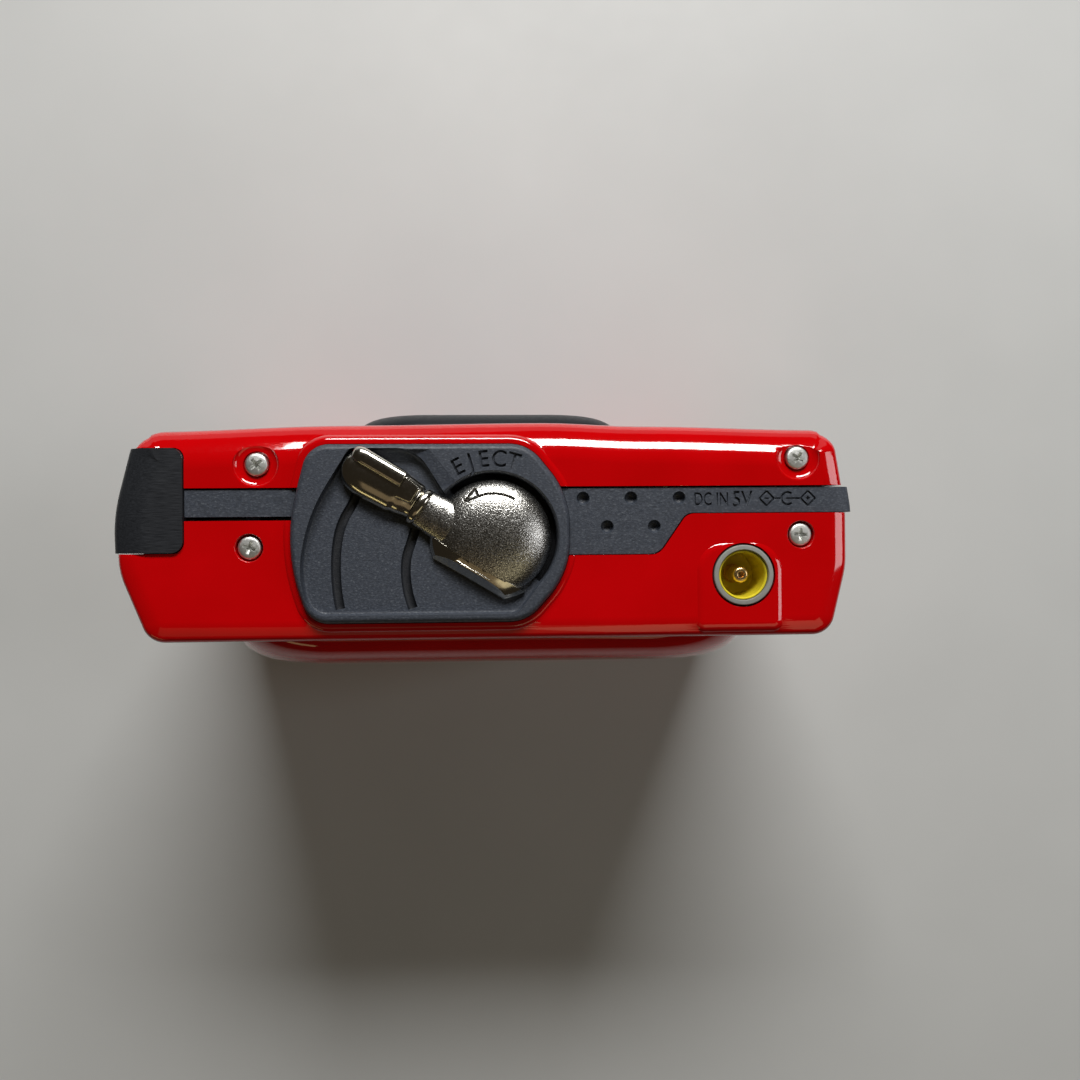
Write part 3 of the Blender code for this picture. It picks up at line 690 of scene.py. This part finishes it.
def battery_door_region(gap=0.0):
    corners = [
        (-45.6 + gap, 13.2 + gap, 1.8),
        (-70.0, 13.2 + gap, 0.0),
        (-70.0, -2.6 - gap, 0.0),
        (-45.6 + gap, -2.6 - gap, 1.8),
    ]
    return prism(filleted(corners), BATTERY_HINGE[1] - gap, 95.0)


def pocket_tools():
    """Cutters for the battery's compartment and for the room round its door's hinge."""
    box = prism(rectangle((-51.0, 4.0), (6.3, 13.5), 2.9), 8.0, 90.0)
    return box, rod(1.6, -3.0, 7.6, BATTERY_HINGE, "y")


def make_rear_shell():
    shell = solid(core())
    carve(shell, block((-70, 70), (-40, BAND_TOP + 0.25), (-5, 95)))
    carve(shell, prism(offset(filleted(BODY_CORNERS), -2.2), FLOOR_Z, END_WALL_Z))
    weld(shell, housing_collar())
    carve(shell, block((-70, 70), (-40, BAND_TOP + 0.25), (-5, 95)))
    carve(shell, housing_hole(), battery_door_region(FIT_GAP), pocket_tools()[0])
    for x, y in END_SCREWS[:2]:
        dish = [(0, 82.5), (2.05, 82.5), (2.05, 83.15)]
        for a in quarter_turn(8, 1):
            dish.append((2.05 + 1.45 * math.sin(a), 83.15 + 0.9 * (1 - math.cos(a))))
        dish += [(3.5, 90), (0, 90)]
        carve(shell, turned(dish, (x, y)), rod(1.3, 80, 84, (x, y)))
    for height in BUTTONS.values():
        carve(shell, prism(rectangle((PANEL_CENTRE[0], height), (13.6, 7.6), 3.6), 13, 20, "y"))
    carve(shell, block((VOLUME[0], 60), (8.3, 11.3), (VOLUME[1] - 5.6, VOLUME[1] + 5.6)))
    carve(shell, rod(3.3, 50, 60, PHONES, "x"))
    piece(shell, "rear_shell_fine", RED, "case", ["rear_shell"], bevel=0.14, angle=38)


def jack_boss():
    """The block round the jack, which stays flat where the body's edge rolls away."""
    outline = filleted([(46.3, -1.0, 5.0), (31.6, -1.0, 5.0), (31.6, -15.7, 1.9), (46.3, -15.7, 1.9)])
    return stack(outline, [(0.0, 79.5), (0.0, 82.9)] + rounded(0.0, 1.8, 82.9, 1.35, 8))


def make_front_shell():
    shell = solid(core())
    weld(shell, jack_boss(), housing_collar())
    carve(shell, prism(front_region(), -5, 95), operation="INTERSECT")
    carve(shell, block(BAY_X, (-13.9, 20), (FLOOR_Z, END_WALL_Z)))
    carve(shell, block((-53.6, -49.6), (-9.5, 20), (3, 79.5)))
    carve(shell, block((-70, 70), (-30, -12.3), (FLOOR_Z, DOOR_Z[1] + 0.4)))
    carve(shell, block((-70, 70), (-30, -12.0), (FLOOR_Z, 8)))
    carve(shell, housing_hole(), battery_door_region(FIT_GAP), *pocket_tools())
    carve(shell, rod(0.6, -4.3, 7.2, BATTERY_HINGE, "y", 16), rod(4.95, 70, 90, JACK))
    for x, y in END_SCREWS[2:]:
        seat = [(0, 82.5), (2.05, 82.5), (2.05, 83.7), (2.15, 83.95), (2.35, 84.1), (2.35, 90), (0, 90)]
        carve(shell, turned(seat, (x, y)), rod(1.3, 80, 84, (x, y)))
    piece(shell, "front_shell_fine", RED, "case", ["front_shell"], bevel=0.14, angle=38)


def text_shape(text, size, depth, place, narrow):
    """A word in Blender's own font, as a solid; place puts it on the face."""
    curve = bpy.data.curves.new("word", "FONT")
    curve.body = text
    curve.size = size
    curve.offset = 0.028
    curve.align_x = "CENTER"
    curve.extrude = depth / 2
    curve.resolution_u = 4
    helper = bpy.data.objects.new("word", curve)
    bpy.context.scene.collection.objects.link(helper)
    graph = bpy.context.evaluated_depsgraph_get()
    mesh = bpy.data.meshes.new_from_object(helper.evaluated_get(graph))
    bpy.data.objects.remove(helper)
    bm = bmesh.new()
    bm.from_mesh(mesh)
    bpy.data.meshes.remove(mesh)
    bmesh.ops.remove_doubles(bm, verts=bm.verts, dist=1e-5)
    bmesh.ops.recalc_face_normals(bm, faces=bm.faces)
    bm.transform(place @ Matrix.Diagonal((narrow, 1.0, 1.0, 1.0)))
    return bm


def make_mid_frame():
    band = solid(core(0.95, END_Z - 0.3))
    carve(band, prism(band_region(), -5, 95), operation="INTERSECT")
    carve(band, block((-70, -56.0), (-40, 40), (-5, 95)))
    carve(band, block((-54.3, 53.8), (-30, 30), (FLOOR_Z, END_WALL_Z)))
    carve(band, housing_hole(), battery_door_region(FIT_GAP), *pocket_tools())
    carve(band, rod(0.6, -4.3, 7.2, BATTERY_HINGE, "y", 16))
    pit = [(0, 82.5), (0.35, 82.5), (0.75, 82.7), (0.92, 83.0)]
    pit += [(0.95, 83.6), (1.05, 83.72), (1.05, 90), (0, 90)]
    for dimple in DIMPLES:
        carve(band, turned(pit, dimple, steps=32))
    for x, y in END_SCREWS:
        low, high = min(y, 4.0), max(y, 5.6)
        weld(band, block((x - 1.4, x + 1.4), (3.4, 6.4), (76.0, 82.6)))
        weld(band, block((x - 1.0, x + 1.0), (low, high), (75.0, 81.2)))
        weld(band, rod(2.1, 74.0, 81.3, (x, y), steps=32))
        carve(band, rod(1.15, 70, 83.5, (x, y), steps=24))
    bridge = filleted([(12, 6.5, 2), (-29, 6.5, 2), (-29, -6, 2), (12, -6, 2)])
    weld(band, block((10.2, 14.8), (3.4, 6.4), (77.5, 82.6)))
    weld(band, block((-33.0, -27.0), (3.4, 6.4), (77.5, 82.6)))
    weld(band, prism(bridge, 77.5, 79.4))
    carve(band, housing_hole(), rod(2.3, 70, 90, HUB))
    engrave(band)
    piece(band, "mid_frame_fine", BLACK, "case", ["mid_frame"], bevel=0.12, angle=38)


def ring_bar(points, width, low, high):
    """A flat bar of constant width along an open line of points, as a solid."""
    left, right = [], []
    for i, p in enumerate(points):
        a = points[max(i - 1, 0)]
        b = points[min(i + 1, len(points) - 1)]
        along = (b - a).normalized()
        side = Vector((-along.y, along.x)) * width / 2
        left.append(p + side)
        right.append(p - side)
    return prism(left + right[::-1], low, high)


def engrave(band):
    """Functional marks: the input's voltage and the usual centre-positive symbol."""
    low, high = 83.3, 84.2
    words = (("DC IN", 2.85, 0.7, (34.7, 4.15)), ("5V", 3.45, 0.84, (39.55, 3.95)))
    for text, size, narrow, spot in words:
        place = Matrix.Translation((*spot, (low + high) / 2))
        carve(band, text_shape(text, size, high - low, place, narrow))
    y = 5.15
    for x in (43.4, 49.9):
        tips = circle((x, y), 1.15, 4)
        for one, two in zip(tips, tips[1:] + tips[:1]):
            carve(band, ring_bar([one, two], 0.3, low, high))
        carve(band, ring_bar([Vector((x - 0.35, y)), Vector((x + 0.35, y))], 0.22, low, high))
    carve(band, ring_bar([Vector((49.9, y - 0.35)), Vector((49.9, y + 0.35))], 0.22, low, high))
    angles = [math.radians(48 + 264 * k / 26) for k in range(27)]
    ring = [on_circle((46.7, y), 0.95, a) for a in angles]
    carve(band, ring_bar(ring, 0.32, low, high))
    carve(band, ring_bar([Vector((44.7, y)), Vector((45.65, y))], 0.28, low, high))
    carve(band, ring_bar([Vector((46.45, y)), Vector((48.65, y))], 0.28, low, high))


# ---------------------------------------------------------------- latch


def spline(points, steps=6):
    """A smooth line through the points."""
    ps = [Vector(p) for p in points]
    ps = [ps[0] * 2 - ps[1]] + ps + [ps[-1] * 2 - ps[-2]]
    out = []
    for i in range(1, len(ps) - 2):
        a, b, c, d = ps[i - 1 : i + 3]
        for k in range(steps):
            t = k / steps
            square, cube = 2 * a - 5 * b + 4 * c - d, 3 * b - a - 3 * c + d
            out.append(0.5 * (2 * b + (c - a) * t + square * t * t + cube * t**3))
    return out + [ps[-2]]


def groove(points, width):
    """A cutter for a groove with a rounded bed, square at its ends."""
    half = [(0.45, -0.9), (0.75, -0.78), (0.94, -0.5), (1.0, -0.2), (1.0, 1.4)]
    sides = [(-a, b) for a, b in reversed(half)] + half
    rings = []
    for i, p in enumerate(points):
        along = (points[min(i + 1, len(points) - 1)] - points[max(i - 1, 0)]).normalized()
        side = Vector((-along.y, along.x)) * width / 2
        rings.append([(p.x + side.x * a, p.y + side.y * a, RECESS_Z + b) for a, b in sides])
    return loft(rings)


def make_housing():
    outline = filleted(HOUSING_CORNERS, 16)
    housing = solid(stack(outline, [(0.0, 80.2), (0.0, 84.9)] + rounded(0.0, 0.9, 84.9, 1.1, 8)))
    # the fan-shaped recess under the handle
    fan = [
        (-20.6, 13.0, 1.4),
        (-26.6, 3.2, 26.0),
        (-28.4, -6.0, 16.0),
        (-26.6, -12.2, 3.2),
        (4.6, -12.2, 2.0),
        (8.6, -6.8, 0.5),
        (3.0, 0.0, 0.5),
        (-6.0, 5.6, 0.5),
        (-10.6, 12.95, 5.5),
    ]
    levels = [(0.6, RECESS_Z), (0.25, 84.12), (0.05, 84.45), (0.0, 84.8), (0.0, 95)]
    carve(housing, stack(filleted(fan, 12), levels))
    pocket = [(0, RECESS_Z), (POCKET_R, RECESS_Z), (9.85, 85.3), (9.95, 85.75)]
    pocket += [(10.2, 86.05), (10.2, 95), (0, 95)]
    carve(housing, turned(pocket, HUB, steps=96))
    # the deep gap round the free side of the hub
    angles = [math.radians(-44 + 176 * k / 40) for k in range(41)]
    sector = [on_circle(HUB, POCKET_R, a) for a in angles]
    sector += [on_circle(HUB, 8.2, a) for a in angles[::-1]]
    carve(housing, prism(sector, 81.2, 90))
    carve(housing, rod(2.3, 70, 90, HUB))
    # the ramp falls away from the lettered plateau towards the recess
    ramp = [(-15, 12.75, 84.2), (-13, 5.0, 84.2), (-4.6, 7.7, 85.98), (-8.6, 12.75, 85.98)]
    bm = bmesh.new()
    top = [bm.verts.new((x, y, 95)) for x, y, _ in ramp]
    low = [bm.verts.new(point) for point in ramp]
    for i in range(4):
        j = (i + 1) % 4
        bm.faces.new((low[i], low[j], top[j], top[i]))
    bm.faces.new(top)
    bm.faces.new(low[::-1])
    bmesh.ops.triangulate(bm, faces=bm.faces)
    bmesh.ops.recalc_face_normals(bm, faces=bm.faces)
    carve(housing, bm)
    for points in GROOVES:
        carve(housing, groove(spline(points), 1.5))
    for letter, angle in zip("EJECT", EJECT_DEG):
        a = math.radians(angle)
        place = Matrix.Translation((*on_circle(HUB, 10.75, a), RIM_Z - 0.2))
        place = place @ Matrix.Rotation(a - math.pi / 2, 4, "Z")
        carve(housing, text_shape(letter, 3.6, 0.7, place, 0.95))
    name = "latch_housing"
    piece(housing, name + "_fine", BLACK_HOUSING, "case", [name], bevel=0.1, angle=38)


def to_lever(bm):
    """From the lever's own axes (x along the handle, from the hub's centre) to the end face."""
    turn = Matrix.Translation((HUB[0], HUB[1], 0)) @ Matrix.Rotation(math.radians(LEVER_DEG), 4, "Z")
    bm.transform(turn)
    return bm


def handle_ring(x, middle, half, low, high, power):
    """A rounded cross-section of the handle; a higher power is squarer."""
    count = 96
    points = []
    centre = (low + high) / 2 - 0.25 * (high - low)
    for k in range(count):
        a = math.tau * k / count
        c, s = math.cos(a), math.sin(a)
        y = middle + half * math.copysign(abs(c) ** (2 / power), c)
        tall = (high - centre) if s >= 0 else (centre - low)
        z = centre + tall * math.copysign(abs(s) ** (2 / power), s)
        points.append((x, y, z))
    return points


def smooth_sections(keys, count):
    """Cross-sections at even steps, easing from each key section to the next."""
    out = []
    xs = [key[0] for key in keys]
    for k in range(count + 1):
        x = xs[0] + (xs[-1] - xs[0]) * k / count
        i = max(j for j in range(len(xs) - 1) if xs[j] <= x)
        t = (x - xs[i]) / (xs[i + 1] - xs[i])
        t = t * t * (3 - 2 * t)
        out.append(tuple([x] + [a + (b - a) * t for a, b in zip(keys[i][1:], keys[i + 1][1:])]))
    return out


def dome_profile(foot, radius, rise):
    """A foot, then a flattened dome."""
    curve = [
        (radius * math.cos(a) ** 0.85, DOME_Z + rise * math.sin(a) ** 1.1) for a in quarter_turn(24, 1)[:-1]
    ]
    return foot + curve + [(0, DOME_Z + rise)]


def lever_piece(shape, name, angle, material=CHROME):
    piece(solid(to_lever(shape)), name, material, "lever", weighted=False, angle=angle)


def make_hub():
    foot = [(0, 84.1), (8.7, 84.1), (8.85, 84.2), (8.85, DOME_Z)]
    hub = solid(turned(dome_profile(foot, 8.85, 3.1), HUB, steps=128))
    beyond_cut = prism([Vector(p) for p in ((4.95, 95), (4.95, 80), (30, 80), (30, 95))], -40, 40, "x")
    carve(hub, to_lever(beyond_cut))
    # the arrow that shows which way the lever turns
    line = [on_circle(HUB, 6.6, math.radians(60 + 42 * k / 20)) for k in range(21)]
    head = [line[-1]] + [Vector(p) for p in ((-3.4, 4.8), (-1.75, 6.8), (-1.35, 5.75))]
    for points in [line] + [list(pair) for pair in zip(head, head[1:])]:
        carve(hub, ring_bar(points, 0.42, 85.6, 95))
    piece(hub, "lever_hub", DOME, "lever", ["lever"], bevel=0.12, angle=40)


def make_skirt():
    """The stepped flank along the hub's flat side, under the same crown as the hub."""
    section = [(4.7, 84.1), (4.7, 86.95), (4.85, 87.08), (5.02, 87.05), (5.15, 86.85)]
    section += [(5.3, 86.62), (5.7, 86.5), (5.85, 86.58), (6.0, 86.52), (6.1, 86.3)]
    section += [(6.7, 85.4), (7.2, 84.75), (7.35, 84.5), (7.4, 84.1)]
    bar = solid(to_lever(prism([Vector(p) for p in section], -9.5, 8.4, "x")))
    foot = [(0, 83.0), (9.65, 83.0), (9.65, DOME_Z)]
    crown = solid(turned(dome_profile(foot, 9.65, 2.75), HUB, steps=128))
    carve(bar, crown, operation="INTERSECT")
    piece(bar, "lever_skirt", CHROME, "lever", bevel=0.12, angle=35)


def make_shoulder():
    rings = [handle_ring(*s, power=2.2) for s in smooth_sections(SHOULDER_SECTIONS, 18)]
    lever_piece(loft(rings), "lever_shoulder", 60, DOME)


def make_collar():
    """The ring between the shoulder and the handle."""
    rings = []
    for k in range(72):
        a = math.tau * k / 72
        ring = []
        for m in range(24):
            b = math.tau * m / 24
            reach = 1.0 + 0.16 * math.cos(b)
            along = 11.9 + 0.62 * math.sin(b) + 0.25 * math.cos(a)
            ring.append((along, 1.55 + 2.6 * reach * math.cos(a), 85.1 + 1.6 * reach * math.sin(a)))
        rings.append(ring)
    collar = loft(rings + rings[:1], caps=False)
    bmesh.ops.remove_doubles(collar, verts=collar.verts, dist=1e-4)
    for vert in collar.verts:
        vert.co.z = max(vert.co.z, 84.2)
    lever_piece(collar, "lever_collar", 60)


def make_handle():
    neck = filleted([(16.2, 2.3, 0.6), (13.1, 1.9, 0.5), (13.1, -0.95, 0.5), (16.2, -1.5, 0.6)])
    levels = [(0.0, 84.5), (0.0, 86.6), (0.1, 86.82), (0.3, 86.9)]
    lever_piece(stack(neck, levels), "lever_neck", 50)
    rings = [handle_ring(*s, power=2.0) for s in smooth_sections(HANDLE_SECTIONS, 60)]
    for k in range(1, 17):
        a = math.pi / 2 * k / 16.4
        c = math.cos(a) ** 0.8
        low, high = 84.3 + 1.0 * (1 - c), 85.4 + 1.6 * c
        rings.append(handle_ring(20.8 + 4.4 * math.sin(a), 1.42, 3.52 * c, low, high, power=2.0))
    lever_piece(loft(rings), "lever_handle", 60)


def make_pad():
    """The raised pad along the handle's upper flank, which sinks into the tip."""
    base = 84.8
    section = [(-1.95, base), (-1.95, 86.9), (-1.85, 87.2), (-1.6, 87.45), (-1.2, 87.62)]
    section += [(-0.7, 87.7), (-0.1, 87.68), (0.3, 87.6), (0.5, 87.48), (0.57, 87.3), (0.57, base)]
    rings = [[(15.9, n * 0.97, z - 0.12) for n, z in section]]
    rings += [[(x, n, z) for n, z in section] for x in (15.98, 18.0, 20.0, 22.0)]
    for k, a in enumerate(quarter_turn(16)):
        c = math.cos(a) ** 0.7 if k < 16 else 0.0
        wide, tall = 0.2 + 0.8 * c, 0.5 + 0.5 * c
        x = 22.6 + 1.95 * math.sin(a)
        rings.append([(x, -0.6 + (n + 0.6) * wide, base + (z - base) * tall) for n, z in section])
    lever_piece(loft(rings), "lever_pad", 50)


def make_lever():
    make_hub()
    make_skirt()
    make_shoulder()
    make_collar()
    make_handle()
    make_pad()


def make_screws():
    cross = ((0.95, 0.24), (-0.95, 0.24), (-0.95, -0.24), (0.95, -0.24))
    for number, (x, y) in enumerate(END_SCREWS, 1):
        profile = [(0, 77.0), (0.8, 77.0), (1.0, 77.3), (1.0, 82.8), (1.7, 82.8)]
        profile += [(1.76, 82.9), (1.76, 83.4)]
        profile += rounded(1.76, -0.5, 83.4, 0.35, 5) + [(0.7, 83.83), (0, 83.85)]
        screw = solid(turned(profile, (x, y), steps=48))
        for turn in (20 + 17 * number, 110 + 17 * number):
            levels = ((0.35, 83.05), (1.0, 83.6), (1.1, 84.2))
            slot = loft([[(a * k, b * k, z) for a, b in cross] for k, z in levels])
            slot.transform(Matrix.Translation((x, y, 0)) @ Matrix.Rotation(math.radians(turn), 4, "Z"))
            carve(screw, slot)
        name = f"end_screw_{number}"
        piece(screw, name + "_fine", SCREW, "case", [name], bevel=0.05, angle=35)


def make_battery_door():
    near, far = edge_profile(0.8, 0.15, 1.0), edge_profile(5.2, 0.55, 0.8)

    def edge(n, k):
        """Square along the end face, and rolled over towards the outer side."""
        left = max(0.0, -n.x)
        return tuple(a + (b - a) * left for a, b in zip(near[k], far[k]))

    door = solid(core(0.62, END_Z + 0.5, edge))
    carve(door, battery_door_region(), operation="INTERSECT")
    carve(door, prism(offset(filleted(BODY_CORNERS), -0.6), 50, 82.3))
    weld(door, rod(1.25, -2.4, 6.6, BATTERY_HINGE, "y"))
    carve(door, block((-54.0, -40), (-10, 6.8), (50, 82.3)))
    carve(door, rod(0.72, -8, 12, BATTERY_HINGE, "y", 16))
    name = "battery_door"
    piece(door, name + "_fine", HAIRLINE, "battery_lid", [name], bevel=0.35, angle=40)


def make_jack():
    ring = [(4.65, 75), (4.65, 84.2)]
    ring += [(4.65 - 0.15 * k / 3, 84.2 + 0.13 * math.sin(math.pi / 2 * k / 3)) for k in range(1, 4)]
    ring += [(3.98, 84.33), (3.88, 84.2), (3.86, 83.9), (3.86, 75)]
    cup = [(0, 75), (3.8, 75), (3.8, 83.7), (3.72, 83.8), (3.6, 83.8)]
    cup += [(3.5, 83.65), (3.4, 83.2), (3.35, 76.2), (2.9, 75.9), (0, 75.9)]
    pin = [(0, 76.1), (1.5, 76.1), (1.5, 76.8), (1.28, 77.1), (1.28, 81.9)]
    pin += rounded(1.28, -0.6, 81.9, 0.5, 6)
    pin += [(0.5, 82.35), (0.4, 82.15), (0.3, 81.5), (0, 81.5)]
    for name, profile, steps, material, slot in (
        ("jack_ring", ring, 96, GREY, "jack_grey"),
        ("jack_sleeve", cup, 96, YELLOW, "jack_yellow"),
        ("jack_pin", pin, 48, GOLD, "brass_turned"),
    ):
        shape = solid(turned(profile, JACK, steps=steps))
        piece(shape, name + "_fine", material, "case", [name], angle=35)


# ---------------------------------------------------------------- door and controls


def make_door():
    door = solid(core())
    carve(door, block((-70, 70), (-30, DOOR_PLANE), DOOR_Z), operation="INTERSECT")
    outline = rectangle(BULGE_CENTRE, BULGE_SIZE, 18, 20)
    levels = [(0.0, -15.0)] + rounded(0.0, 9.0, -16.0, -5.6, 16, first=0)
    weld(door, stack(outline, levels, "y"))
    weld(door, rod(1.8, -50.6, 53.0, HINGE, "x"))
    carve(door, block((BAY_X[0] - 0.2, BAY_X[1] + 0.1), (-15.0, 0), (8.0, 76.6)))
    carve(door, prism(rectangle(BULGE_CENTRE, (80, 56), 12), -19.4, 0, "y"))
    levels = [(0, 0), (0, -21.0), (-0.25, -21.3), (-0.6, -21.5), (-1.1, -21.7), (-1.1, -30)]
    carve(door, stack(rectangle(WINDOW_CENTRE, (56.6, 28.6), 4.3), levels, "y"))
    carve(door, rod(1.1, -70, 70, HINGE, "x", 24))
    for x in (-33.0, 35.0):
        carve(door, block((x - 3.3, x + 3.3), (-30, 0), (0, 7.0)))
    weld(door, block((-3.5, 5.3), (-15.5, -12.9), (74.6, 78.2)))
    piece(door, "cassette_door_fine", RED, "door", ["cassette_door"], bevel=0.18, angle=38)
    levels = [(0.0, -19.9), (0.0, -20.9), (0.3, -21.15), (0.8, -21.25)]
    pane = stack(rectangle(WINDOW_CENTRE, (56.0, 28.0), 4.0), levels, "y")
    piece(solid(pane), "door_window_fine", SMOKE, "door", ["door_window"], angle=30)
    make_cassette_springs()


def make_cassette_springs():
    """Two bowed leaf springs that press on the cassette."""
    section = ((-2.5, 0), (2.5, 0), (2.5, 0.25), (-2.5, 0.25))
    for side, x in (("left", -37.0), ("right", 41.0)):
        rings = []
        for k in range(25):
            t = k / 24
            z = 16.0 + 22.0 * t
            y = -13.55 + 1.0 * math.sin(math.pi * t) ** 2
            rings.append([(x + a, y + b, z) for a, b in section])
        name = f"cassette_spring_{side}"
        piece(solid(loft(rings)), name + "_fine", STEEL, "door", [name], angle=30)


def make_panel():
    levels = [(0.0, 16.1), (0.0, 16.6)] + rounded(0.0, 6.0, 16.6, 3.0, 16)
    panel = solid(stack(rectangle(PANEL_CENTRE, PANEL_SIZE, 12, 20), levels, "y"))
    for height in BUTTONS.values():
        carve(panel, prism(rectangle((PANEL_CENTRE[0], height), (12.8, 6.8), 3.2), 10, 25, "y"))
    name = "control_panel"
    piece(panel, name + "_fine", BLACK_FINE, "case", [name], bevel=0.2, angle=38)


def make_buttons():
    marks = {
        "play": [[(-1.1, 1.3), (-1.1, -1.3), (1.3, 0)]],
        "stop": [[(-1.1, -1.1), (1.1, -1.1), (1.1, 1.1), (-1.1, 1.1)]],
        "forward": [[(-1.7, 1.2), (-1.7, -1.2), (0, 0)], [(0, 1.2), (0, -1.2), (1.7, 0)]],
        "rewind": [[(1.7, 1.2), (1.7, -1.2), (0, 0)], [(0, 1.2), (0, -1.2), (-1.7, 0)]],
    }
    rise = [(0.0, 13.45), (0.0, 19.4), (0.12, 19.7), (0.4, 19.93), (0.9, 20.0), (2.0, 19.9)]
    for name, height in BUTTONS.items():
        spot = (PANEL_CENTRE[0], height)
        body, node = f"key_{name}", f"button_{name}"
        button = solid(stack(rectangle(spot, (12.0, 6.0), 2.9), rise, "y"))
        weld(button, prism(rectangle(spot, (15.0, 9.0), 3.6), 12.6, 13.5, "y"))
        piece(button, node + "_fine", BUTTON, body, [node], angle=35)
        for k, shape in enumerate(marks[name]):
            # seen from +Y, X runs to the left
            points = [Vector((spot[0] - a, spot[1] + b)) for a, b in shape]
            mark = solid(prism(points, 19.8, 20.0, "y"))
            piece(mark, f"mark_{name}_{k + 1}", REEL, body, weighted=False)


def make_controls():
    make_panel()
    make_buttons()
    rim = []
    for k in range(240):
        a = math.tau * k / 240
        rim.append(on_circle(VOLUME, 6.2 - 0.3 * (0.5 + 0.5 * math.cos(30 * a)) ** 2, a))
    wheel = solid(stack(rim, [(0.25, 8.6), (0.0, 8.85), (0.0, 10.75), (0.25, 11.0)], "y"))
    piece(wheel, "volume_wheel_fine", BLACK, "volume", ["volume_wheel"], angle=50)
    socket = [(0, 42.0), (3.0, 42.0), (3.0, 54.7), (2.85, 54.85)]
    socket += [(2.0, 54.85), (1.8, 54.6), (1.8, 43.0), (0, 43.0)]
    sleeve = solid(turned(socket, PHONES, "x"))
    piece(sleeve, "phones_socket_fine", STEEL, "case", ["phones_socket"], angle=35)


def dress_frame():
    """Gives each CAD piece that stays its procedural material."""
    chosen = {
        "battery_box": INNER,
        "battery_cell": CELL,
        "door_liner": INNER,
        "circuit_board": BOARD,
        "drive_belt": RUBBER,
        "idler_wheel": RUBBER,
        "pinch_roller": RUBBER,
        "flywheel": BRASS,
        "motor_pulley": BRASS,
        "capstan_sleeve": BRASS,
        "supply_spindle": REEL,
        "takeup_spindle": REEL,
    }
    for name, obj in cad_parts.items():
        material = chosen.get(name, STEEL)
        if not obj.material_slots:
            obj.data.materials.append(material)
        for slot in obj.material_slots:
            slot.material = material


# ---------------------------------------------------------------- stage


# name, place, target, size (metres), power (watts), colour
SOFTBOXES = [
    ("key", (0.045, 0.57, 0.535), (0.0, 0.0, 0.08), (0.46, 0.19), 6.4, (1.0, 0.99, 0.97)),
    ("window", (-0.15, 1.15, 0.20), (0.0, 0.0, 0.04), (1.6, 0.4), 0.8, (0.93, 0.96, 1.0)),
    ("ceiling_right", (0.85, 0.05, 0.75), (0.0, 0.0, 0.06), (0.3, 0.4), 1.3, (0.98, 0.98, 1.0)),
    ("overhead", (-0.15, -0.62, 1.0), (0.0, 0.0, 0.08), (0.8, 0.42), 0.16, (1.0, 0.74, 0.42)),
    ("warm_right", (0.30, -0.45, 0.75), (0.0, 0.0, 0.08), (0.5, 0.3), 0.25, (1.0, 0.88, 0.55)),
    ("warm_left", (-0.55, -0.75, 0.42), (0.0, 0.0, 0.08), (0.5, 0.12), 0.2, (1.0, 0.82, 0.38)),
]


def make_floor():
    bm = bmesh.new()
    bmesh.ops.create_grid(bm, x_segments=8, y_segments=8, size=3.0)
    floor = solid(bm, "floor")
    n = Nodes("floor_pale")
    tones = [(0.3, (0.545, 0.555, 0.55)), (0.7, (0.585, 0.595, 0.59))]
    n.colour(n.ramp(n.noise(60.0, 4.0), tones))
    n.rough(n.span(n.noise(6.0), 0.5, 0.6))
    floor.data.materials.append(n.material)


def softbox(name, place, target, size, power, colour):
    light = bpy.data.lights.new(name, "AREA")
    light.shape = "RECTANGLE"
    light.size, light.size_y = size
    light.energy = power
    light.color = colour
    lamp = bpy.data.objects.new(name, light)
    bpy.context.scene.collection.objects.link(lamp)
    lamp.location = place
    direction = Vector(target) - Vector(place)
    lamp.rotation_euler = direction.to_track_quat("-Z", "Y").to_euler()


def make_lights():
    for row in SOFTBOXES:
        softbox(*row)
    world = bpy.data.worlds.new("studio")
    bpy.context.scene.world = world
    world.use_nodes = True
    world.node_tree.nodes["Background"].inputs["Color"].default_value = (1.0, 0.80, 0.56, 1.0)
    world.node_tree.nodes["Background"].inputs["Strength"].default_value = 0.02


def make_camera():
    """Straight above the end face, a little to one side, at the distance of a close-up."""
    distance, tilt, roll = 0.160, math.radians(3.1), math.radians(-0.46)
    aim = Vector((0.0081, (-1.05 + Y_SHIFT) * MM, END_Z * MM))
    camera = bpy.data.objects.new("camera", bpy.data.cameras.new("camera"))
    bpy.context.scene.collection.objects.link(camera)
    camera.data.sensor_width = 36.0
    camera.data.lens = 36.0 * 1045.0 / 1080.0
    camera.data.clip_start = 0.01
    back = Matrix.Rotation(-tilt, 3, "Y") @ Vector((0, 0, 1))
    camera.location = aim + back * distance
    spin = Matrix.Rotation(roll, 3, back) @ Matrix.Rotation(-tilt, 3, "Y")
    camera.rotation_euler = spin.to_euler()
    bpy.context.scene.camera = camera
    bpy.context.scene.view_settings.view_transform = "Standard"


make_rear_shell()
make_front_shell()
make_mid_frame()
make_housing()
make_lever()
make_screws()
make_battery_door()
make_jack()
make_door()
make_controls()
dress_frame()
make_floor()
make_lights()
make_camera()
